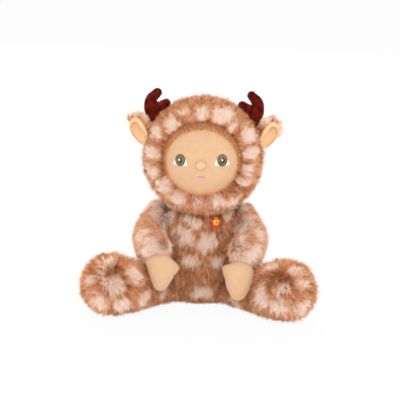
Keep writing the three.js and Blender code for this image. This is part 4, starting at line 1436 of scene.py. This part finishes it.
def make_camera(elevation, roll):
    camera = bpy.data.cameras.new("camera")
    camera.sensor_width = SENSOR_WIDTH
    camera.lens = SENSOR_WIDTH * FOCAL_PIXELS / PICTURE_PIXELS
    camera.clip_end = 20
    eye = bpy.data.objects.new("camera", camera)
    bpy.context.scene.collection.objects.link(eye)
    back = Vector((0, -math.cos(elevation), math.sin(elevation)))
    eye.location = CAMERA_TARGET + back * CAMERA_DISTANCE
    aim = (-back).to_track_quat("-Z", "Y").to_matrix()
    eye.rotation_euler = (aim @ Matrix.Rotation(roll, 3, "Z")).to_euler()
    bpy.context.scene.camera = eye
    bpy.context.scene.view_settings.view_transform = "Standard"


# Add-on


class DollPile(bpy.types.PropertyGroup):
    """Length and dyes of the long pile."""

    length: bpy.props.FloatProperty(
        name="Pile length", description="Full length of the strands", subtype="DISTANCE", unit="LENGTH",
        default=10.5 * MM, min=0)
    rust: bpy.props.FloatVectorProperty(
        name="Rust", description="Darkest dye of the pile", subtype="COLOR", default=RUST, min=0, max=1)
    tan: bpy.props.FloatVectorProperty(
        name="Tan", description="Main dye of the pile", subtype="COLOR", default=TAN, min=0, max=1)
    cream: bpy.props.FloatVectorProperty(
        name="Cream", description="Dye of the spots", subtype="COLOR", default=CREAM, min=0, max=1)


class DollCloth(bpy.types.PropertyGroup):
    """Colours of the plain cloths."""

    skin: bpy.props.FloatVectorProperty(
        name="Face cloth", description="Dye of face and hands", subtype="COLOR", default=SKIN, min=0, max=1)
    ear_cloth: bpy.props.FloatVectorProperty(
        name="Ear cloth", description="Dye of the ears' linings", subtype="COLOR", default=EAR_CLOTH,
        min=0, max=1)
    velour: bpy.props.FloatVectorProperty(
        name="Antlers", description="Dye of the antlers' velour", subtype="COLOR", default=VELOUR,
        min=0, max=1)


class DollCamera(bpy.types.PropertyGroup):
    """Where the camera looks from."""

    elevation: bpy.props.FloatProperty(
        name="Camera height", description="Angle above the horizon", subtype="ANGLE", unit="ROTATION",
        default=math.radians(13.0))
    roll: bpy.props.FloatProperty(
        name="Camera roll", description="How far the picture is turned", subtype="ANGLE", unit="ROTATION",
        default=math.radians(2.0))


PROPERTY_GROUPS = {"doll_pile": DollPile, "doll_cloth": DollCloth, "doll_camera": DollCamera}


def pile_length(context):
    return context.scene.doll_pile.length / MM


class DOLL_OT_stage(bpy.types.Operator):
    """Make the floor, the light and the camera."""

    bl_idname = "doll.stage"
    bl_label = "Stage"

    def execute(self, context):
        make_floor()
        make_world()
        make_lamps()
        make_camera(context.scene.doll_camera.elevation, context.scene.doll_camera.roll)
        return {"FINISHED"}


class DOLL_OT_materials(bpy.types.Operator):
    """Make the cloths, piles and threads."""

    bl_idname = "doll.materials"
    bl_label = "Materials"

    def execute(self, context):
        make_materials(context.scene.doll_pile, context.scene.doll_cloth)
        return {"FINISHED"}


class DOLL_OT_hood(bpy.types.Operator):
    """Make the hood and its pile."""

    bl_idname = "doll.hood"
    bl_label = "Hood"

    def execute(self, context):
        make_hood(pile_length(context))
        return {"FINISHED"}


class DOLL_OT_hood_lining(bpy.types.Operator):
    """Make the short-pile band round the face."""

    bl_idname = "doll.hood_lining"
    bl_label = "Hood lining"

    def execute(self, context):
        make_hood_lining()
        return {"FINISHED"}


class DOLL_OT_head(bpy.types.Operator):
    """Make the cloth head."""

    bl_idname = "doll.head"
    bl_label = "Head"

    def execute(self, context):
        make_head()
        return {"FINISHED"}


class DOLL_OT_face(bpy.types.Operator):
    """Make the nose and the stitched eyes and mouth."""

    bl_idname = "doll.face"
    bl_label = "Face"

    def execute(self, context):
        make_nose()
        make_eyes()
        make_mouth()
        return {"FINISHED"}


class DOLL_OT_ears(bpy.types.Operator):
    """Make both ears and their linings."""

    bl_idname = "doll.ears"
    bl_label = "Ears"

    def execute(self, context):
        make_ears()
        return {"FINISHED"}


class DOLL_OT_antlers(bpy.types.Operator):
    """Make both antlers."""

    bl_idname = "doll.antlers"
    bl_label = "Antlers"

    def execute(self, context):
        make_antlers()
        return {"FINISHED"}


class DOLL_OT_torso(bpy.types.Operator):
    """Make the torso and its pile."""

    bl_idname = "doll.torso"
    bl_label = "Torso"

    def execute(self, context):
        make_torso(pile_length(context))
        return {"FINISHED"}


class DOLL_OT_arms(bpy.types.Operator):
    """Make both sleeves and hands."""

    bl_idname = "doll.arms"
    bl_label = "Arms"

    def execute(self, context):
        make_arms(pile_length(context))
        return {"FINISHED"}


class DOLL_OT_legs(bpy.types.Operator):
    """Make both legs with their feet."""

    bl_idname = "doll.legs"
    bl_label = "Legs"

    def execute(self, context):
        make_legs(pile_length(context))
        return {"FINISHED"}


class DOLL_OT_motif(bpy.types.Operator):
    """Make the flower on the chest."""

    bl_idname = "doll.motif"
    bl_label = "Chest motif"

    def execute(self, context):
        make_motif()
        return {"FINISHED"}


OPERATORS = (
    DOLL_OT_stage, DOLL_OT_materials, DOLL_OT_hood, DOLL_OT_hood_lining, DOLL_OT_head, DOLL_OT_face,
    DOLL_OT_ears, DOLL_OT_antlers, DOLL_OT_torso, DOLL_OT_arms, DOLL_OT_legs, DOLL_OT_motif,
)


class DOLL_PT_panel(bpy.types.Panel):
    """Sizes, colours and the buttons that build the doll."""

    bl_label = "Plush doll"
    bl_space_type = "VIEW_3D"
    bl_region_type = "UI"
    bl_category = "Plush doll"

    def draw(self, context):
        for place, group in PROPERTY_GROUPS.items():
            for name in group.__annotations__:
                self.layout.prop(getattr(context.scene, place), name)
        for made in OPERATORS:
            self.layout.operator(made.bl_idname)


def register():
    for place, group in PROPERTY_GROUPS.items():
        bpy.utils.register_class(group)
        setattr(bpy.types.Scene, place, bpy.props.PointerProperty(type=group))
    for made in (*OPERATORS, DOLL_PT_panel):
        bpy.utils.register_class(made)


def unregister():
    for made in (DOLL_PT_panel, *reversed(OPERATORS)):
        bpy.utils.unregister_class(made)
    for place, group in PROPERTY_GROUPS.items():
        delattr(bpy.types.Scene, place)
        bpy.utils.unregister_class(group)


def main():
    register()
    for made in OPERATORS:
        getattr(bpy.ops.doll, made.bl_idname.removeprefix("doll."))()


if __name__ == "__main__":
    main()
